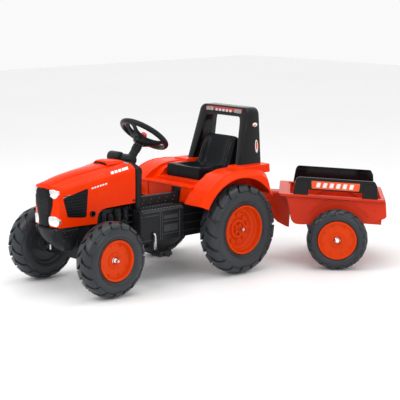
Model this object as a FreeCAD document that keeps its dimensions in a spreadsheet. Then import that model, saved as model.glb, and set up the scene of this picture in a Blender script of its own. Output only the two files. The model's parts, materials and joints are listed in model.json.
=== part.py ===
import FreeCAD, Part
import math
import os
import re

import Sketcher

# A child's ride-on pedal tractor with a two-wheel trailer, in millimetres.
#
# Tractor frame: X to the driver's left, Y to the rear, Z up, with its zero on the ground below
# the middle of the rear axle. Trailer frame: the same directions for a trailer that follows
# straight, with its zero on the ground below its own axle. The trailer stands turned at its hitch.
# Steering frame: zero at the middle of the steering wheel, Z along the column towards the driver.

DIMENSIONS = {
    # where the tractor frame's zero stands in the assembly: set from the bounding box at the end
    "origin_x": 0, "origin_y": 0,
    # wheels: radii, widths and how far each stands from the middle plane
    "rear_radius": 175, "rear_width": 91, "rear_track": 237, "rear_bead": 96.5,
    "front_radius": 139, "front_width": 90, "front_track": 211, "small_bead": 76.5,
    "trailer_radius": 120, "trailer_width": 70, "trailer_track": 205,
    "wheel_base": 605, "tyre_wall": 4, "rim_wall": 4,
    "rear_lug": 9, "front_lug": 8, "trailer_lug": 5,
    "rear_lugs": 18, "front_lugs": 18, "trailer_lugs": 18,
    # shafts and their fits
    "axle_rod": 6, "stub_rod": 5, "column_rod": 6, "pin_rod": 4, "running_fit": 0.05, "free_gap": 0.5,
    # steering
    "column_tilt": 37.66, "column_y": -269, "column_z": 543, "column_length": 461,
    "ring_radius": 92, "ring_tube": 11, "hub_radius": 27, "hub_top": -12, "hub_base": -36,
    "spoke_angle": 30, "horn_radius": 12, "crank_throw": 30.8,
    "kingpin_x": 148, "arm_length": 45, "tie_low": 143.5, "tie_high": 151.5, "fork_gap": 4.6,
    # pedals and chain
    "crank_y": -347, "crank_z": 188, "crank_arm": 66, "crank_x": 153, "crank_bend": 6,
    "pedal_in": 160, "pedal_out": 224, "pedal_half": 30, "crank_sprocket_radius": 45,
    "rear_sprocket_radius": 30, "chain_x": 54,
    # body shell
    "shell_wall": 4, "body_front": -410, "step_rear": -195, "body_rear": 158, "body_low": 155,
    "foot_half": 143, "foot_level": 278, "ridge_in": 56, "ridge_out": 80, "ridge_level": 320,
    "tail_half": 115,
    "tail_low": 150, "block_half": 84, "block_low": 170, "block_top": 294, "nose_half": 60,
    "bumper_half": 68, "bumper_front": -748, "bumper_rear": -640, "bumper_top": 241,
    # bonnet and dash
    "hood_front": -738, "hood_rear": -405, "hood_low": 247, "hood_nose_half": 72, "hood_tail_half": 109,
    "hood_nose_edge": 380, "hood_tail_edge": 452, "hood_nose_top": 404, "hood_tail_top": 468,
    "hood_step": -570, "hood_arch": -516, "belt_front": 300, "belt_rear": 308,
    "bush_y": -591, "bush_z": 287, "bush_radius": 8, "nose_level": 268,
    "hinge_y": -411, "hinge_z": 452, "dash_half": 112, "dash_front": -402,
    # rear fenders, seat and roll bar
    "fender_in": 150, "fender_out": 262, "arch_radius": 199, "crown_radius": 223,
    "deck_half": 150, "deck_level": 347, "deck_front": -160, "deck_rear": 205, "pad_level": 403,
    "seat_half": 95, "seat_gap": 0.4,
    "bar_foot": 155, "bar_top": 137, "bar_width": 30, "bar_height": 623, "bar_front": 91, "bar_rear": 208,
    # hitch and trailer
    "hitch_y": 180, "hitch_level": 246, "drawbar_length": 435, "trailer_yaw": -46.63, "trailer_pitch": -3.2,
    "tub_half": 146, "rim_half": 160, "rim_level": 279, "rim_depth": 11, "board_level": 349,
    "arch_bulge": 142, "arch_depth": 14,
}

AXES = {"X": "vector(0;1;0); 90", "Y": "vector(1;0;0); -90", "Z": "vector(0;0;1); 0"}
PLANES = {"XY": "XY_Plane", "XZ": "XZ_Plane", "YZ": "YZ_Plane"}

TRACTOR = "placement(vector(origin_x; origin_y; 0); rotation(vector(0;0;1); 0))"
STEERING = (
    "placement(vector(origin_x; origin_y + column_y; column_z); rotation(vector(1;0;0); -column_tilt))"
)
TRAILER = (
    "placement(vector(origin_x - drawbar_length * sin(trailer_yaw);"
    " origin_y + hitch_y + drawbar_length * cos(trailer_yaw); trailer_radius);"
    " rotation(vector(0;0;1); trailer_yaw))"
    " * placement(vector(0;0;0); rotation(vector(1;0;0); trailer_pitch))"
    " * placement(vector(0;0;-trailer_radius); rotation(vector(0;0;1); 0))"
)

document = FreeCAD.newDocument("pedal_tractor")
sheet = document.addObject("Spreadsheet::Sheet", "dims")
for row, (word, size) in enumerate(DIMENSIONS.items(), start=1):
    sheet.set(f"A{row}", word)
    sheet.set(f"B{row}", str(size))
    sheet.setAlias(f"B{row}", word)
document.recompute()

WORD = re.compile(r"\b[a-z]+(?:_[a-z]+)+\b")
subparts = []


# ---- helpers: every size is a formula in the sheet's words ----

def bound(formula):
    """The formula with the sheet's name in front of each of its words."""
    return WORD.sub(lambda found: "dims." + found.group(), str(formula))


def number(formula):
    return float(sheet.evalExpression(bound(formula)))


def subpart(item, name, frame):
    """Names a finished object as a sub-part and puts it in its frame."""
    item.Label = name
    item.setExpression("Placement", bound(frame))
    subparts.append(item)
    return item


def new_body(name):
    return document.addObject("PartDesign::Body", name)


def both_sides(inner, outer):
    """The same span on the left and on the right of the middle plane."""
    return [(inner, outer), (f"-({outer})", f"-({inner})")]


def sketch(body, plane, points, offset, closed=True):
    """An outline. A point is (across, up), or (across, up, radius) where an arc ends on it:
    a positive radius turns left on the way there and a negative one turns right."""
    item = body.newObject("Sketcher::SketchObject", f"{body.Name}_outline")
    origin_plane = next(o for o in body.Origin.OriginFeatures if o.Role == PLANES[plane])
    item.AttachmentSupport = [(origin_plane, "")]
    item.MapMode = "FlatFace"
    item.setExpression("AttachmentOffset.Base.z", bound(offset))
    corners = [FreeCAD.Vector(number(point[0]), number(point[1]), 0) for point in points]
    count = len(points)
    ends = []
    for index, start in enumerate(corners if closed else corners[:-1]):
        stop = corners[(index + 1) % count]
        bend = points[(index + 1) % count][2:]
        if not bend:
            item.addGeometry(Part.LineSegment(start, stop), False)
            ends.append((1, 2))
            continue
        radius = number(bend[0])
        chord = stop - start
        rise = math.sqrt(radius ** 2 - chord.Length ** 2 / 4) * math.copysign(1, radius)
        left = FreeCAD.Vector(-chord.y, chord.x, 0) / chord.Length
        centre = (start + stop) / 2 + left * rise
        first, last = (start, stop) if radius > 0 else (stop, start)
        circle = Part.Circle(centre, FreeCAD.Vector(0, 0, 1), abs(radius))
        angles = [math.atan2(corner.y - centre.y, corner.x - centre.x) for corner in (first, last)]
        if angles[1] < angles[0]:
            angles[1] += 2 * math.pi
        item.addGeometry(Part.ArcOfCircle(circle, angles[0], angles[1]), False)
        ends.append((1, 2) if radius > 0 else (2, 1))
    for index in range(count if closed else count - 2):
        after = (index + 1) % count
        item.addConstraint(Sketcher.Constraint("Coincident", index, ends[index][1], after, ends[after][0]))
    corner_at = [(index, ends[index][0]) for index in range(len(ends))]
    if not closed:
        corner_at.append((count - 2, ends[-1][1]))
    for index, point in enumerate(points):
        for kind, formula in (("DistanceX", point[0]), ("DistanceY", point[1])):
            place = Sketcher.Constraint(kind, -1, 1, *corner_at[index], number(formula))
            item.setExpression(f"Constraints[{item.addConstraint(place)}]", bound(formula))
        if len(point) == 3:
            bend = Sketcher.Constraint("Radius", (index - 1) % count, abs(number(point[2])))
            item.setExpression(f"Constraints[{item.addConstraint(bend)}]", bound(f"abs({point[2]})"))
    return item


def block(body, plane, points, start, end):
    """Adds the outline's prism between two stations along the plane's axis."""
    offset = f"-({end})" if plane == "XZ" else start
    item = sketch(body, plane, points, offset)
    feature = body.newObject("PartDesign::Pad", f"{body.Name}_block")
    feature.Profile = item
    feature.setExpression("Length", bound(f"({end}) - ({start})"))
    return feature


def cut(body, plane, points, start, end):
    """Takes the outline's prism away between two stations along the plane's axis."""
    document.recompute()
    before = body.Shape.Volume
    offset = f"-({start})" if plane == "XZ" else end
    item = sketch(body, plane, points, offset)
    feature = body.newObject("PartDesign::Pocket", f"{body.Name}_cut")
    feature.Profile = item
    feature.setExpression("Length", bound(f"({end}) - ({start})"))
    document.recompute()
    if body.Shape.Volume >= before:
        raise RuntimeError(f"{feature.Name} takes nothing away")
    return feature


def box(low_y, high_y, low_z, high_z):
    """A rectangle's four corners."""
    return [(low_y, low_z), (high_y, low_z), (high_y, high_z), (low_y, high_z)]


def rod(body, radius, at, axis, length, kind="Additive"):
    """Adds, or with Subtractive takes away, a cylinder from a point along an axis."""
    feature = body.newObject(f"PartDesign::{kind}Cylinder", f"{body.Name}_rod")
    feature.setExpression("Radius", bound(radius))
    feature.setExpression("Height", bound(length))
    spot = f"placement(vector({at[0]}; {at[1]}; {at[2]}); rotation({AXES[axis]}))"
    feature.setExpression("Placement", bound(spot))
    return feature


def bore(body, radius, at, axis, length):
    return rod(body, radius, at, axis, length, kind="Subtractive")


def bent_rod(body, radius, path, level):
    """A round rod bent along a path that lies across the Y axis and starts along X."""
    spine = sketch(body, "XZ", path, f"-({level})", closed=False)
    ring = body.newObject("Sketcher::SketchObject", f"{body.Name}_ring")
    side_plane = next(o for o in body.Origin.OriginFeatures if o.Role == PLANES["YZ"])
    ring.AttachmentSupport = [(side_plane, "")]
    ring.MapMode = "FlatFace"
    ring.setExpression("AttachmentOffset.Base.z", bound(path[0][0]))
    centre = FreeCAD.Vector(number(level), number(path[0][1]), 0)
    ring.addGeometry(Part.Circle(centre, FreeCAD.Vector(0, 0, 1), number(radius)), False)
    for kind, formula in (("DistanceX", level), ("DistanceY", path[0][1])):
        place = Sketcher.Constraint(kind, -1, 1, 0, 3, number(formula))
        ring.setExpression(f"Constraints[{ring.addConstraint(place)}]", bound(formula))
    size = ring.addConstraint(Sketcher.Constraint("Radius", 0, number(radius)))
    ring.setExpression(f"Constraints[{size}]", bound(radius))
    feature = body.newObject("PartDesign::AdditivePipe", f"{body.Name}_bend")
    feature.Profile = ring
    feature.Spine = (spine, [])
    return feature


def origin_line(body, axis):
    """One of the body's own axes, through its zero."""
    return next(o for o in body.Origin.OriginFeatures if o.Role == f"{axis}_Axis")


def turned(body, points):
    """A profile of (along the X axis, out from it), turned about that axis."""
    item = sketch(body, "XY", points, "0")
    feature = body.newObject("PartDesign::Revolution", f"{body.Name}_turned")
    feature.Profile = item
    feature.ReferenceAxis = (item, ["H_Axis"])
    return feature


def grooved(body, points):
    """Takes away a profile turned about the X axis."""
    item = sketch(body, "XY", points, "0")
    feature = body.newObject("PartDesign::Groove", f"{body.Name}_groove")
    feature.Profile = item
    feature.ReferenceAxis = (item, ["H_Axis"])
    return feature


def pattern(body, features, axis, count):
    """Repeats features round one of the body's axes."""
    document.recompute()
    feature = body.newObject("PartDesign::PolarPattern", f"{body.Name}_pattern")
    feature.Originals = features
    feature.Axis = (origin_line(body, axis), [""])
    feature.setExpression("Occurrences", bound(count))
    body.Tip = feature
    return feature


def plain_rod(name, radius, at, axis, length):
    """A loose cylinder, for nodes that group several solids."""
    item = document.addObject("Part::Cylinder", name)
    item.setExpression("Radius", bound(radius))
    item.setExpression("Height", bound(length))
    spot = f"placement(vector({at[0]}; {at[1]}; {at[2]}); rotation({AXES[axis]}))"
    item.setExpression("Placement", bound(spot))
    return item


def tube(name, outer, inner, at, axis, length):
    """A loose round tube."""
    item = document.addObject("Part::Cut", name)
    item.Base = plain_rod(f"{name}_outer", outer, at, axis, length)
    item.Tool = plain_rod(f"{name}_inner", inner, at, axis, length)
    return item


def group(name, items, frame=TRACTOR):
    """Several separate solids in one node."""
    item = document.addObject("Part::Compound", name)
    item.Links = items
    return subpart(item, name, frame)


def mirrored(name, source, normal=("1", "0", "0"), base=("origin_x", "0", "0")):
    """The same piece on the other side of the middle plane."""
    item = document.addObject("Part::Mirroring", name)
    item.Source = source
    for letter, along, at in zip("xyz", normal, base):
        item.setExpression(f"Normal.{letter}", bound(along))
        item.setExpression(f"Base.{letter}", bound(at))
    item.Label = name
    subparts.append(item)
    return item


# ---- wheels, each made about the X axis and then put on its axle ----

def tyre(name, size, spot):
    """A blow-moulded tyre: an open-backed channel with two staggered rows of slanted lugs."""
    radius, width, bead, lug = f"{size}_radius", f"{size}_width", bead_of(size), f"{size}_lug"
    body = new_body(name)
    shoulder = f"{radius} - {lug} - 14"
    tread = f"{radius} - {lug}"
    turned(body, [
        (f"-{width}/2", bead), (f"{width}/2", bead), (f"{width}/2", shoulder), (f"{width}/2 - 14", tread),
        (f"14 - {width}/2", tread), (f"-{width}/2", shoulder),
    ])
    lugs = []
    for side in (1, -1):
        slant = [("2", -9), ("2", 3), (f"{width}/2 - 1.5", 16), (f"{width}/2 - 1.5", 1)]
        points = [(f"{side} * ({across})", f"{along - 6 * side}") for across, along in slant]
        lugs.append(block(body, "XY", points[::side], f"{radius} - 40", f"{radius} + 3"))
    pattern(body, lugs, "X", f"{size}_lugs")
    edge, crown = f"{width}/2 + 6", f"{width}/2 - 20"
    grooved(body, [
        (f"-({edge})", f"{radius} + 20"), (f"-({edge})", f"{radius} - 32"),
        (f"-{width}/2", f"{radius} - 24"), (f"-({crown})", radius), (crown, radius),
        (f"{width}/2", f"{radius} - 24"), (edge, f"{radius} - 32"), (edge, f"{radius} + 20"),
    ])
    inside = f"{width}/2 - tyre_wall"
    grooved(body, [
        (f"-({inside})", f"{bead} - 2"), (inside, f"{bead} - 2"), (inside, f"{shoulder} - 2"),
        (f"{inside} - 12", f"{tread} - tyre_wall"), (f"12 - ({inside})", f"{tread} - tyre_wall"),
        (f"-({inside})", f"{shoulder} - 2"),
    ])
    return subpart(body, name, spot)


def bead_of(size):
    return "rear_bead" if size == "rear" else "small_bead"


def rim(name, size, spot, web, hub, hub_radius, bore_radius):
    """A dished rim: a barrel inside the tyre's beads, a web and a bored hub (low, high)."""
    width, bead = f"{size}_width", bead_of(size)
    body = new_body(name)
    turned(body, [
        (hub[0], bore_radius), (hub[1], bore_radius), (hub[1], hub_radius),
        (f"{web} + rim_wall", hub_radius), (f"{web} + rim_wall", f"{bead} - rim_wall"),
        (f"{width}/2", f"{bead} - rim_wall"),
        (f"{width}/2", bead), (f"-{width}/2", bead), (f"-{width}/2", f"{bead} - rim_wall"),
        (web, f"{bead} - rim_wall"), (web, hub_radius), (hub[0], hub_radius),
    ])
    return subpart(body, name, spot)


def cap_nut(name, radius, bore_radius, at, frame):
    """A domed cap over the end of a rod, its open side towards the middle plane."""
    body = new_body(name)
    turned(body, [
        ("0", bore_radius), ("0", radius), ("5", radius), ("11", f"{radius} * 0.7"), ("14", "0"),
        ("9", "0"), ("9", bore_radius),
    ])
    offset = f" * placement(vector({at[0]}; {at[1]}; {at[2]}); rotation(vector(0;0;1); 0))"
    body.setExpression("Placement", bound(frame + offset))
    body.Label = name
    return body


def moved(frame, at):
    return f"{frame} * placement(vector({at[0]}; {at[1]}; {at[2]}); rotation(vector(0;0;1); 0))"


def make_rear_wheels():
    spot = moved(TRACTOR, ("rear_track", "0", "rear_radius"))
    left_tyre = tyre("rear_tyre_left", "rear", spot)
    left_rim = rim("rear_rim_left", "rear", spot, "8", ("-42", "24"), "24", "axle_rod")
    free_rim = rim("rear_rim_free", "rear", spot, "8", ("-42", "24"), "24", "axle_rod + running_fit")
    subparts.remove(free_rim)
    mirrored("rear_tyre_right", left_tyre)
    mirrored("rear_rim_right", free_rim)
    group("rear_axle", [plain_rod("rear_rod", "axle_rod", ("-rear_track - 33", "0", "rear_radius"), "X",
                                  "2 * rear_track + 66")])
    cap = cap_nut("rear_cap", "15", "axle_rod", ("rear_track + 24 + free_gap", "0", "rear_radius"), MIDDLE)
    group("rear_axle_caps", [cap, loose_mirror("rear_cap_right", cap)])


def make_front_wheels():
    at = ("front_track", "-wheel_base", "front_radius")
    spot = moved(TRACTOR, at)
    left_tyre = tyre("front_tyre_left", "front", spot)
    left_rim = rim("front_rim_left", "front", spot, "24", ("-22", "34"), "18", "stub_rod + running_fit")
    mirrored("front_tyre_right", left_tyre)
    mirrored("front_rim_right", left_rim)
    outside = ("front_track + 34 + free_gap", at[1], at[2])
    cap = cap_nut("front_cap_nut_left", "10", "stub_rod", outside, TRACTOR)
    subparts.append(cap)
    mirrored("front_cap_nut_right", cap)


def make_trailer_wheels():
    spot = moved(TRAILER, ("trailer_track", "0", "trailer_radius"))
    left_tyre = tyre("trailer_tyre_left", "trailer", spot)
    left_rim = rim("trailer_rim_left", "trailer", spot, "16", ("-30", "26"), "18", "stub_rod + running_fit")
    normal = ("cos(trailer_yaw)", "sin(trailer_yaw)", "0")
    base = ("origin_x", "origin_y + hitch_y", "0")
    mirrored("trailer_tyre_right", left_tyre, normal, base)
    mirrored("trailer_rim_right", left_rim, normal, base)
    rod_item = plain_rod("trailer_rod", "stub_rod", ("-trailer_track - 34", "0", "trailer_radius"), "X",
                         "2 * trailer_track + 68")
    group("trailer_axle", [rod_item], TRAILER)
    cap = cap_nut("trailer_cap", "10", "stub_rod", ("trailer_track + 26 + free_gap", "0", "trailer_radius"),
                  MIDDLE)
    group("trailer_axle_caps", [cap, loose_mirror("trailer_cap_right", cap)], TRAILER)


MIDDLE = "placement(vector(0; 0; 0); rotation(vector(0;0;1); 0))"


def loose_mirror(name, source):
    """A mirror image inside a group, about the group's own middle plane."""
    item = document.addObject("Part::Mirroring", name)
    item.Source = source
    item.Normal = FreeCAD.Vector(1, 0, 0)
    return item


# ---- chassis ----

def make_main_body():
    """The black floor moulding: footrests, a narrow ridge above the chain's run on the left, and a
    narrower tail round the axle."""
    body = new_body("main_body")
    wall = "shell_wall"
    block(body, "XZ", box("-foot_half", "foot_half", "body_low", "foot_level"), "body_front", "step_rear")
    block(body, "XZ", box("ridge_in", "ridge_out", "foot_level - 20", "ridge_level"),
          "body_front", "deck_front - 4")
    block(body, "YZ", [
        ("step_rear - 2", "tail_low"), ("120", "tail_low"), ("body_rear", "tail_low + 50"),
        ("body_rear", "foot_level"), ("step_rear - 2", "foot_level"),
    ], "-tail_half", "tail_half")
    cut(body, "XZ", box(f"{wall} - foot_half", f"foot_half - {wall}", "body_low - 10",
                        f"foot_level - {wall}"), f"body_front + {wall}", f"step_rear - {wall}")
    cut(body, "XZ", box(f"ridge_in + {wall}", f"ridge_out - {wall}", "foot_level - 30",
                        f"ridge_level - {wall}"), f"body_front + {wall}", f"deck_front - 4 - {wall}")
    cut(body, "YZ", [
        ("step_rear - 10", "tail_low - 10"), (f"120 - {wall}", "tail_low - 10"),
        (f"body_rear - {wall}", f"tail_low + 50 - {wall}"), (f"body_rear - {wall}", f"foot_level - {wall}"),
        ("step_rear - 10", f"foot_level - {wall}"),
    ], f"{wall} - tail_half", f"tail_half - {wall}")
    bore(body, "8", ("-foot_half - 10", "crank_y", "crank_z"), "X", "2 * foot_half + 20")
    bore(body, "11", ("-tail_half - 10", "0", "rear_radius"), "X", "2 * tail_half + 20")
    subpart(body, "main_body", TRACTOR)


def make_bushes():
    """Plain bushes in the body's side walls for the rear axle and for the pedal crank."""
    axle = tube("axle_bush", "11", "axle_rod + running_fit", ("tail_half - 10", "0", "rear_radius"), "X",
                "rear_track - 42 - free_gap - tail_half + 10")
    group("axle_bushes", [axle, loose_mirror("axle_bush_right", axle)])
    crank = tube("crank_bush", "8", "stub_rod + running_fit", ("foot_half - 8", "crank_y", "crank_z"), "X",
                 "12")
    group("crank_bushes", [crank, loose_mirror("crank_bush_right", crank)])


def make_engine_block():
    """The black block under the bonnet, open below, with moulded canisters on both flanks.
    The steering column passes down through a slot in its top."""
    body = new_body("engine_block")
    wall = "shell_wall"
    block(body, "XY", box("-block_half", "block_half", "hood_step + 4", "body_front"), "block_low",
          "block_top")
    block(body, "XY", box("-nose_half", "nose_half", "bumper_rear", "hood_step + 6"), "166", "nose_level")
    for low, high in both_sides("block_half - 2", "block_half + 14"):
        block(body, "YZ", box("-456", "body_front", "205", "278"), low, high)
    canisters = ((-505, 13, 216, 276), (-474, 15, 222, 290), (-440, 12, 196, 290))
    for side in (1, -1):
        for station, radius, base, top in canisters:
            rod(body, str(radius), (f"{side} * (block_half + 4)", str(station), str(base)), "Z",
                str(top - base))
    cut(body, "XY", box(f"{wall} - block_half", f"block_half - {wall}", f"hood_step + 4 + {wall}",
                        f"body_front - {wall}"), "block_low - 5", f"block_top - {wall}")
    cut(body, "XY", box(f"{wall} - nose_half", f"nose_half - {wall}", f"bumper_rear + {wall}",
                        f"hood_step - {wall}"), "160", f"nose_level - {wall}")
    crossing = "(column_y - (column_z - block_top) * tan(column_tilt))"
    cut(body, "XY", box("-12", "12", f"{crossing} - 22", f"{crossing} + 18"), "block_top - 10",
        "block_top + 5")
    subpart(body, "engine_block", TRACTOR)


def make_front_bumper():
    """The black bow under the grille, open behind."""
    body = new_body("front_bumper")
    wall = "shell_wall"
    block(body, "YZ", [
        ("bumper_rear", "132"), ("bumper_rear", "bumper_top"), ("bumper_front", "bumper_top"),
        ("bumper_front + 4", "205"), ("bumper_front + 40", "152", "90"), ("bumper_front + 70", "134"),
    ], "-bumper_half", "bumper_half")
    cut(body, "YZ", [
        ("bumper_rear + 5", "138"), ("bumper_rear + 5", f"bumper_top - {wall}"),
        (f"bumper_front + {wall}", f"bumper_top - {wall}"), ("bumper_front + 9", "206"),
        ("bumper_front + 43", "157", "90"), ("bumper_front + 71", "138"),
    ], f"{wall} - bumper_half", f"bumper_half - {wall}")
    subpart(body, "front_bumper", TRACTOR)


def make_front_axle():
    """The beam with a fork at each end, and the pins that the knuckles turn on."""
    body = new_body("front_axle_beam")
    ends = "kingpin_x + 16"
    block(body, "XZ", [
        ("17 - kingpin_x", "120"), (f"-({ends})", "120"), (f"-({ends})", "112"), (ends, "112"),
        (ends, "120"), ("kingpin_x - 17", "120"), ("kingpin_x - 17", "158"), (ends, "158"), (ends, "166"),
        (f"-({ends})", "166"), (f"-({ends})", "158"), ("17 - kingpin_x", "158"),
    ], "-wheel_base - 15", "15 - wheel_base")
    for side in (1, -1):
        bore(body, "pin_rod", (f"{side} * kingpin_x", "-wheel_base", "100"), "Z", "80")
    subpart(body, "front_axle_beam", TRACTOR)
    pins = [
        plain_rod(f"kingpin_{side}", "pin_rod", (f"{sign} * kingpin_x", "-wheel_base", "108"), "Z", "62")
        for side, sign in (("left", 1), ("right", -1))
    ]
    group("kingpins", pins)


def make_knuckles():
    """A knuckle with its stub axle and a rearward arm that carries the tie rod's pin."""
    body = new_body("knuckle_left")
    rod(body, "13", ("kingpin_x", "-wheel_base", "120.5"), "Z", "37")
    rod(body, "stub_rod", ("kingpin_x", "-wheel_base", "front_radius"), "X", "front_track + 43 - kingpin_x")
    block(body, "XY", box("kingpin_x - 6", "kingpin_x + 6", "-wheel_base", "arm_length - wheel_base + 6"),
          "128", "141")
    rod(body, "3", ("kingpin_x", "arm_length - wheel_base", "138"), "Z", "18")
    bore(body, "pin_rod + running_fit", ("kingpin_x", "-wheel_base", "100"), "Z", "80")
    subpart(body, "knuckle_left", TRACTOR)
    mirrored("knuckle_right", body)


def make_tie_rod():
    """The bar between the knuckle arms, with a fork for the column's crank."""
    body = new_body("tie_rod")
    middle = "arm_length - wheel_base"
    block(body, "XY", box("-kingpin_x - 12", "kingpin_x + 12", f"{middle} - 11", f"{middle} + 8"),
          "tie_low", "tie_high")
    for low, high in both_sides("fork_gap", "fork_gap + 5"):
        block(body, "YZ", box(f"{middle} + 2", f"{middle} + 42", "tie_low", "153"), low, high)
    for side in (1, -1):
        across = (f"{side} * kingpin_x - 3.6", f"{side} * kingpin_x + 3.6")
        cut(body, "XY", box(across[0], across[1], f"{middle} - 6.5", f"{middle} + 3.6"), "tie_low - 5",
            "tie_high + 5")
    subpart(body, "tie_rod", TRACTOR)


def along_z(frame, distance):
    """A placement moved along its own Z axis."""
    return f"{frame} * placement(vector(0;0;{distance}); rotation(vector(0;0;1); 0))"


def make_dash():
    """The cowl behind the bonnet with its rounded housings and the boss that the column leaves by."""
    body = new_body("dash_cowl")
    wall = "shell_wall"
    profile = [
        ("dash_front", "foot_level + 4"), ("-366", "foot_level + 4"), ("-368", "300"), ("-360", "410"),
        ("-352", "442"), ("-374", "470"), ("-384", "466"), ("dash_front", "436"),
    ]
    block(body, "YZ", profile, "-dash_half", "dash_half")
    rod(body, "22", ("-86", "-366", "466"), "X", "62")
    rod(body, "19", ("-26", "-354", "460"), "X", "66")
    boss = rod(body, "20", ("0", "0", "0"), "Z", "80")
    column = "placement(vector(0; column_y; column_z); rotation(vector(1;0;0); -column_tilt))"
    boss.setExpression("Placement", bound(along_z(column, "-152")))
    cut(body, "YZ", [
        ("dash_front - 5", "foot_level - 5"), (f"-366 - {wall}", "foot_level - 5"),
        (f"-368 - {wall}", "300"), (f"-360 - {wall}", "410"), ("-358", "440"), ("-376", "464"),
        ("-382", "462"), ("-398", "434"), ("dash_front - 5", "430"),
    ], f"{wall} - dash_half", f"dash_half - {wall}")
    cut(body, "XZ", box("ridge_in", "ridge_out", "foot_level - 5", "ridge_level"),
        "dash_front - 5", "-340")
    for low, high in both_sides("62", "72"):
        block(body, "YZ", [
            ("hinge_y - 6.5", "hinge_z - 16"), ("dash_front + 2", "hinge_z - 34"),
            ("dash_front + 2", "hinge_z - 17"), ("hinge_y + 6.5", "hinge_z - 6"),
            ("hinge_y + 6.5", "hinge_z + 2"), ("hinge_y + 2", "hinge_z + 6.5"),
            ("hinge_y - 2", "hinge_z + 6.5"), ("hinge_y - 6.5", "hinge_z + 2"),
        ], low, high)
    for inner in ("60", "-74"):
        bore(body, "3", (inner, "hinge_y", "hinge_z"), "X", "14")
    well = bore(body, "column_rod + 1.5", ("0", "0", "0"), "Z", "200")
    well.setExpression("Placement", bound(along_z(column, "-240")))
    subpart(body, "dash_cowl", TRACTOR)


def make_column_sleeve():
    """The ribbed bush that carries the column above the dash."""
    body = new_body("column_sleeve")
    rod(body, "15", ("0", "0", "-72"), "Z", "32")
    for step in range(3):
        rod(body, "17.5", ("0", "0", f"-{70 - 9 * step}"), "Z", "4")
    bore(body, "column_rod + running_fit", ("0", "0", "-80"), "Z", "60")
    subpart(body, "column_sleeve", STEERING)


def make_screws():
    """Pan-head screws that hold the floor moulding's halves and the cowl together."""
    items = []
    spots = [("foot_half", -396, 176), ("foot_half", -396, 258), ("foot_half", -215, 176),
             ("dash_half", -386, 330)]
    for index, (across, along, height) in enumerate(spots):
        item = plain_rod(f"screw_{index}", "5", (across, str(along), str(height)), "X", "2")
        items += [item, loose_mirror(f"screw_{index}_right", item)]
    group("body_screws", items)


def make_drive_chain():
    """The chain's outline round both sprockets, kept clear of the tips of their teeth."""
    body = new_body("drive_chain")
    span = "sqrt(crank_y^2 + (crank_z - rear_radius)^2)"
    slope = f"asin((crank_sprocket_radius - rear_sprocket_radius) / {span})"

    def loop(extra):
        front, rear = f"(crank_sprocket_radius + {extra})", f"(rear_sprocket_radius + {extra})"
        lean, stand = f"sin({slope})", f"cos({slope})"
        return [
            (f"{front} * {lean} - {span}", f"-{front} * {stand}"),
            (f"{rear} * {lean}", f"-{rear} * {stand}"),
            (f"{rear} * {lean}", f"{rear} * {stand}", rear),
            (f"{front} * {lean} - {span}", f"{front} * {stand}"), (f"-{front} - {span}", "0", front),
        ]

    outer, inner = loop("5.4"), loop("0.4")
    outer[0] += ("crank_sprocket_radius + 5.4",)
    inner[0] += ("crank_sprocket_radius + 0.4",)
    block(body, "YZ", outer, "chain_x - 4", "chain_x + 4")
    cut(body, "YZ", inner, "chain_x - 6", "chain_x + 6")
    tilt = "rotation(vector(1;0;0); -atan((crank_z - rear_radius) / -crank_y))"
    subpart(body, "drive_chain", f"{TRACTOR} * placement(vector(0; 0; rear_radius); {tilt})")


def sprocket(name, radius, bore_radius, centre, teeth):
    """A flat toothed wheel on its shaft."""
    body = new_body(name)
    turned(body, [("-2", bore_radius), ("2", bore_radius), ("2", f"{radius} - 5"), ("-2", f"{radius} - 5")])
    outline = [("-3", f"{radius} - 8"), ("3", f"{radius} - 8"), ("1.2", radius), ("-1.2", radius)]
    tooth = block(body, "YZ", outline, "-2", "2")
    pattern(body, [tooth], "X", str(teeth))
    subpart(body, name, moved(TRACTOR, ("chain_x", centre[0], centre[1])))


def make_crank():
    """The bent pedal crank, its pedals and the caps that keep them on."""
    body = new_body("crank_rod")
    low, high = "crank_z - crank_arm", "crank_z + crank_arm"
    bent_rod(body, "stub_rod", [
        ("-pedal_out - 6", high), ("-crank_x - crank_bend", high),
        ("-crank_x", f"{high} - crank_bend", "-crank_bend"), ("-crank_x", "crank_z + crank_bend"),
        ("crank_bend - crank_x", "crank_z", "crank_bend"), ("crank_x - crank_bend", "crank_z"),
        ("crank_x", "crank_z - crank_bend", "-crank_bend"), ("crank_x", f"{low} + crank_bend"),
        ("crank_x + crank_bend", low, "crank_bend"), ("pedal_out + 6", low),
    ], "crank_y")
    subpart(body, "crank_rod", TRACTOR)
    caps = []
    for label, side in (("left", 1), ("right", -1)):
        low = "pedal_in" if side > 0 else "-pedal_out"
        height = f"crank_z - {side} * crank_arm"
        pedal = new_body(f"pedal_{label}")
        block(pedal, "YZ", [
            ("crank_y - pedal_half", f"{height} - 7"), ("crank_y + pedal_half", f"{height} - 7"),
            ("crank_y + pedal_half", f"{height} + 7"), ("crank_y - pedal_half", f"{height} + 7"),
        ], low, f"{low} + pedal_out - pedal_in")
        rod(pedal, "10", (low, "crank_y", height), "X", "pedal_out - pedal_in")
        bore(pedal, "stub_rod + running_fit", (f"{low} - 5", "crank_y", height), "X",
             "pedal_out - pedal_in + 10")
        subpart(pedal, f"pedal_{label}", TRACTOR)
        start = "pedal_out + free_gap" if side > 0 else "-pedal_out - free_gap - 5"
        caps.append(tube(f"pedal_cap_{label}", "9", "stub_rod", (start, "crank_y", height), "X", "5"))
    group("pedal_caps", caps)


# ---- bonnet ----

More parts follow.
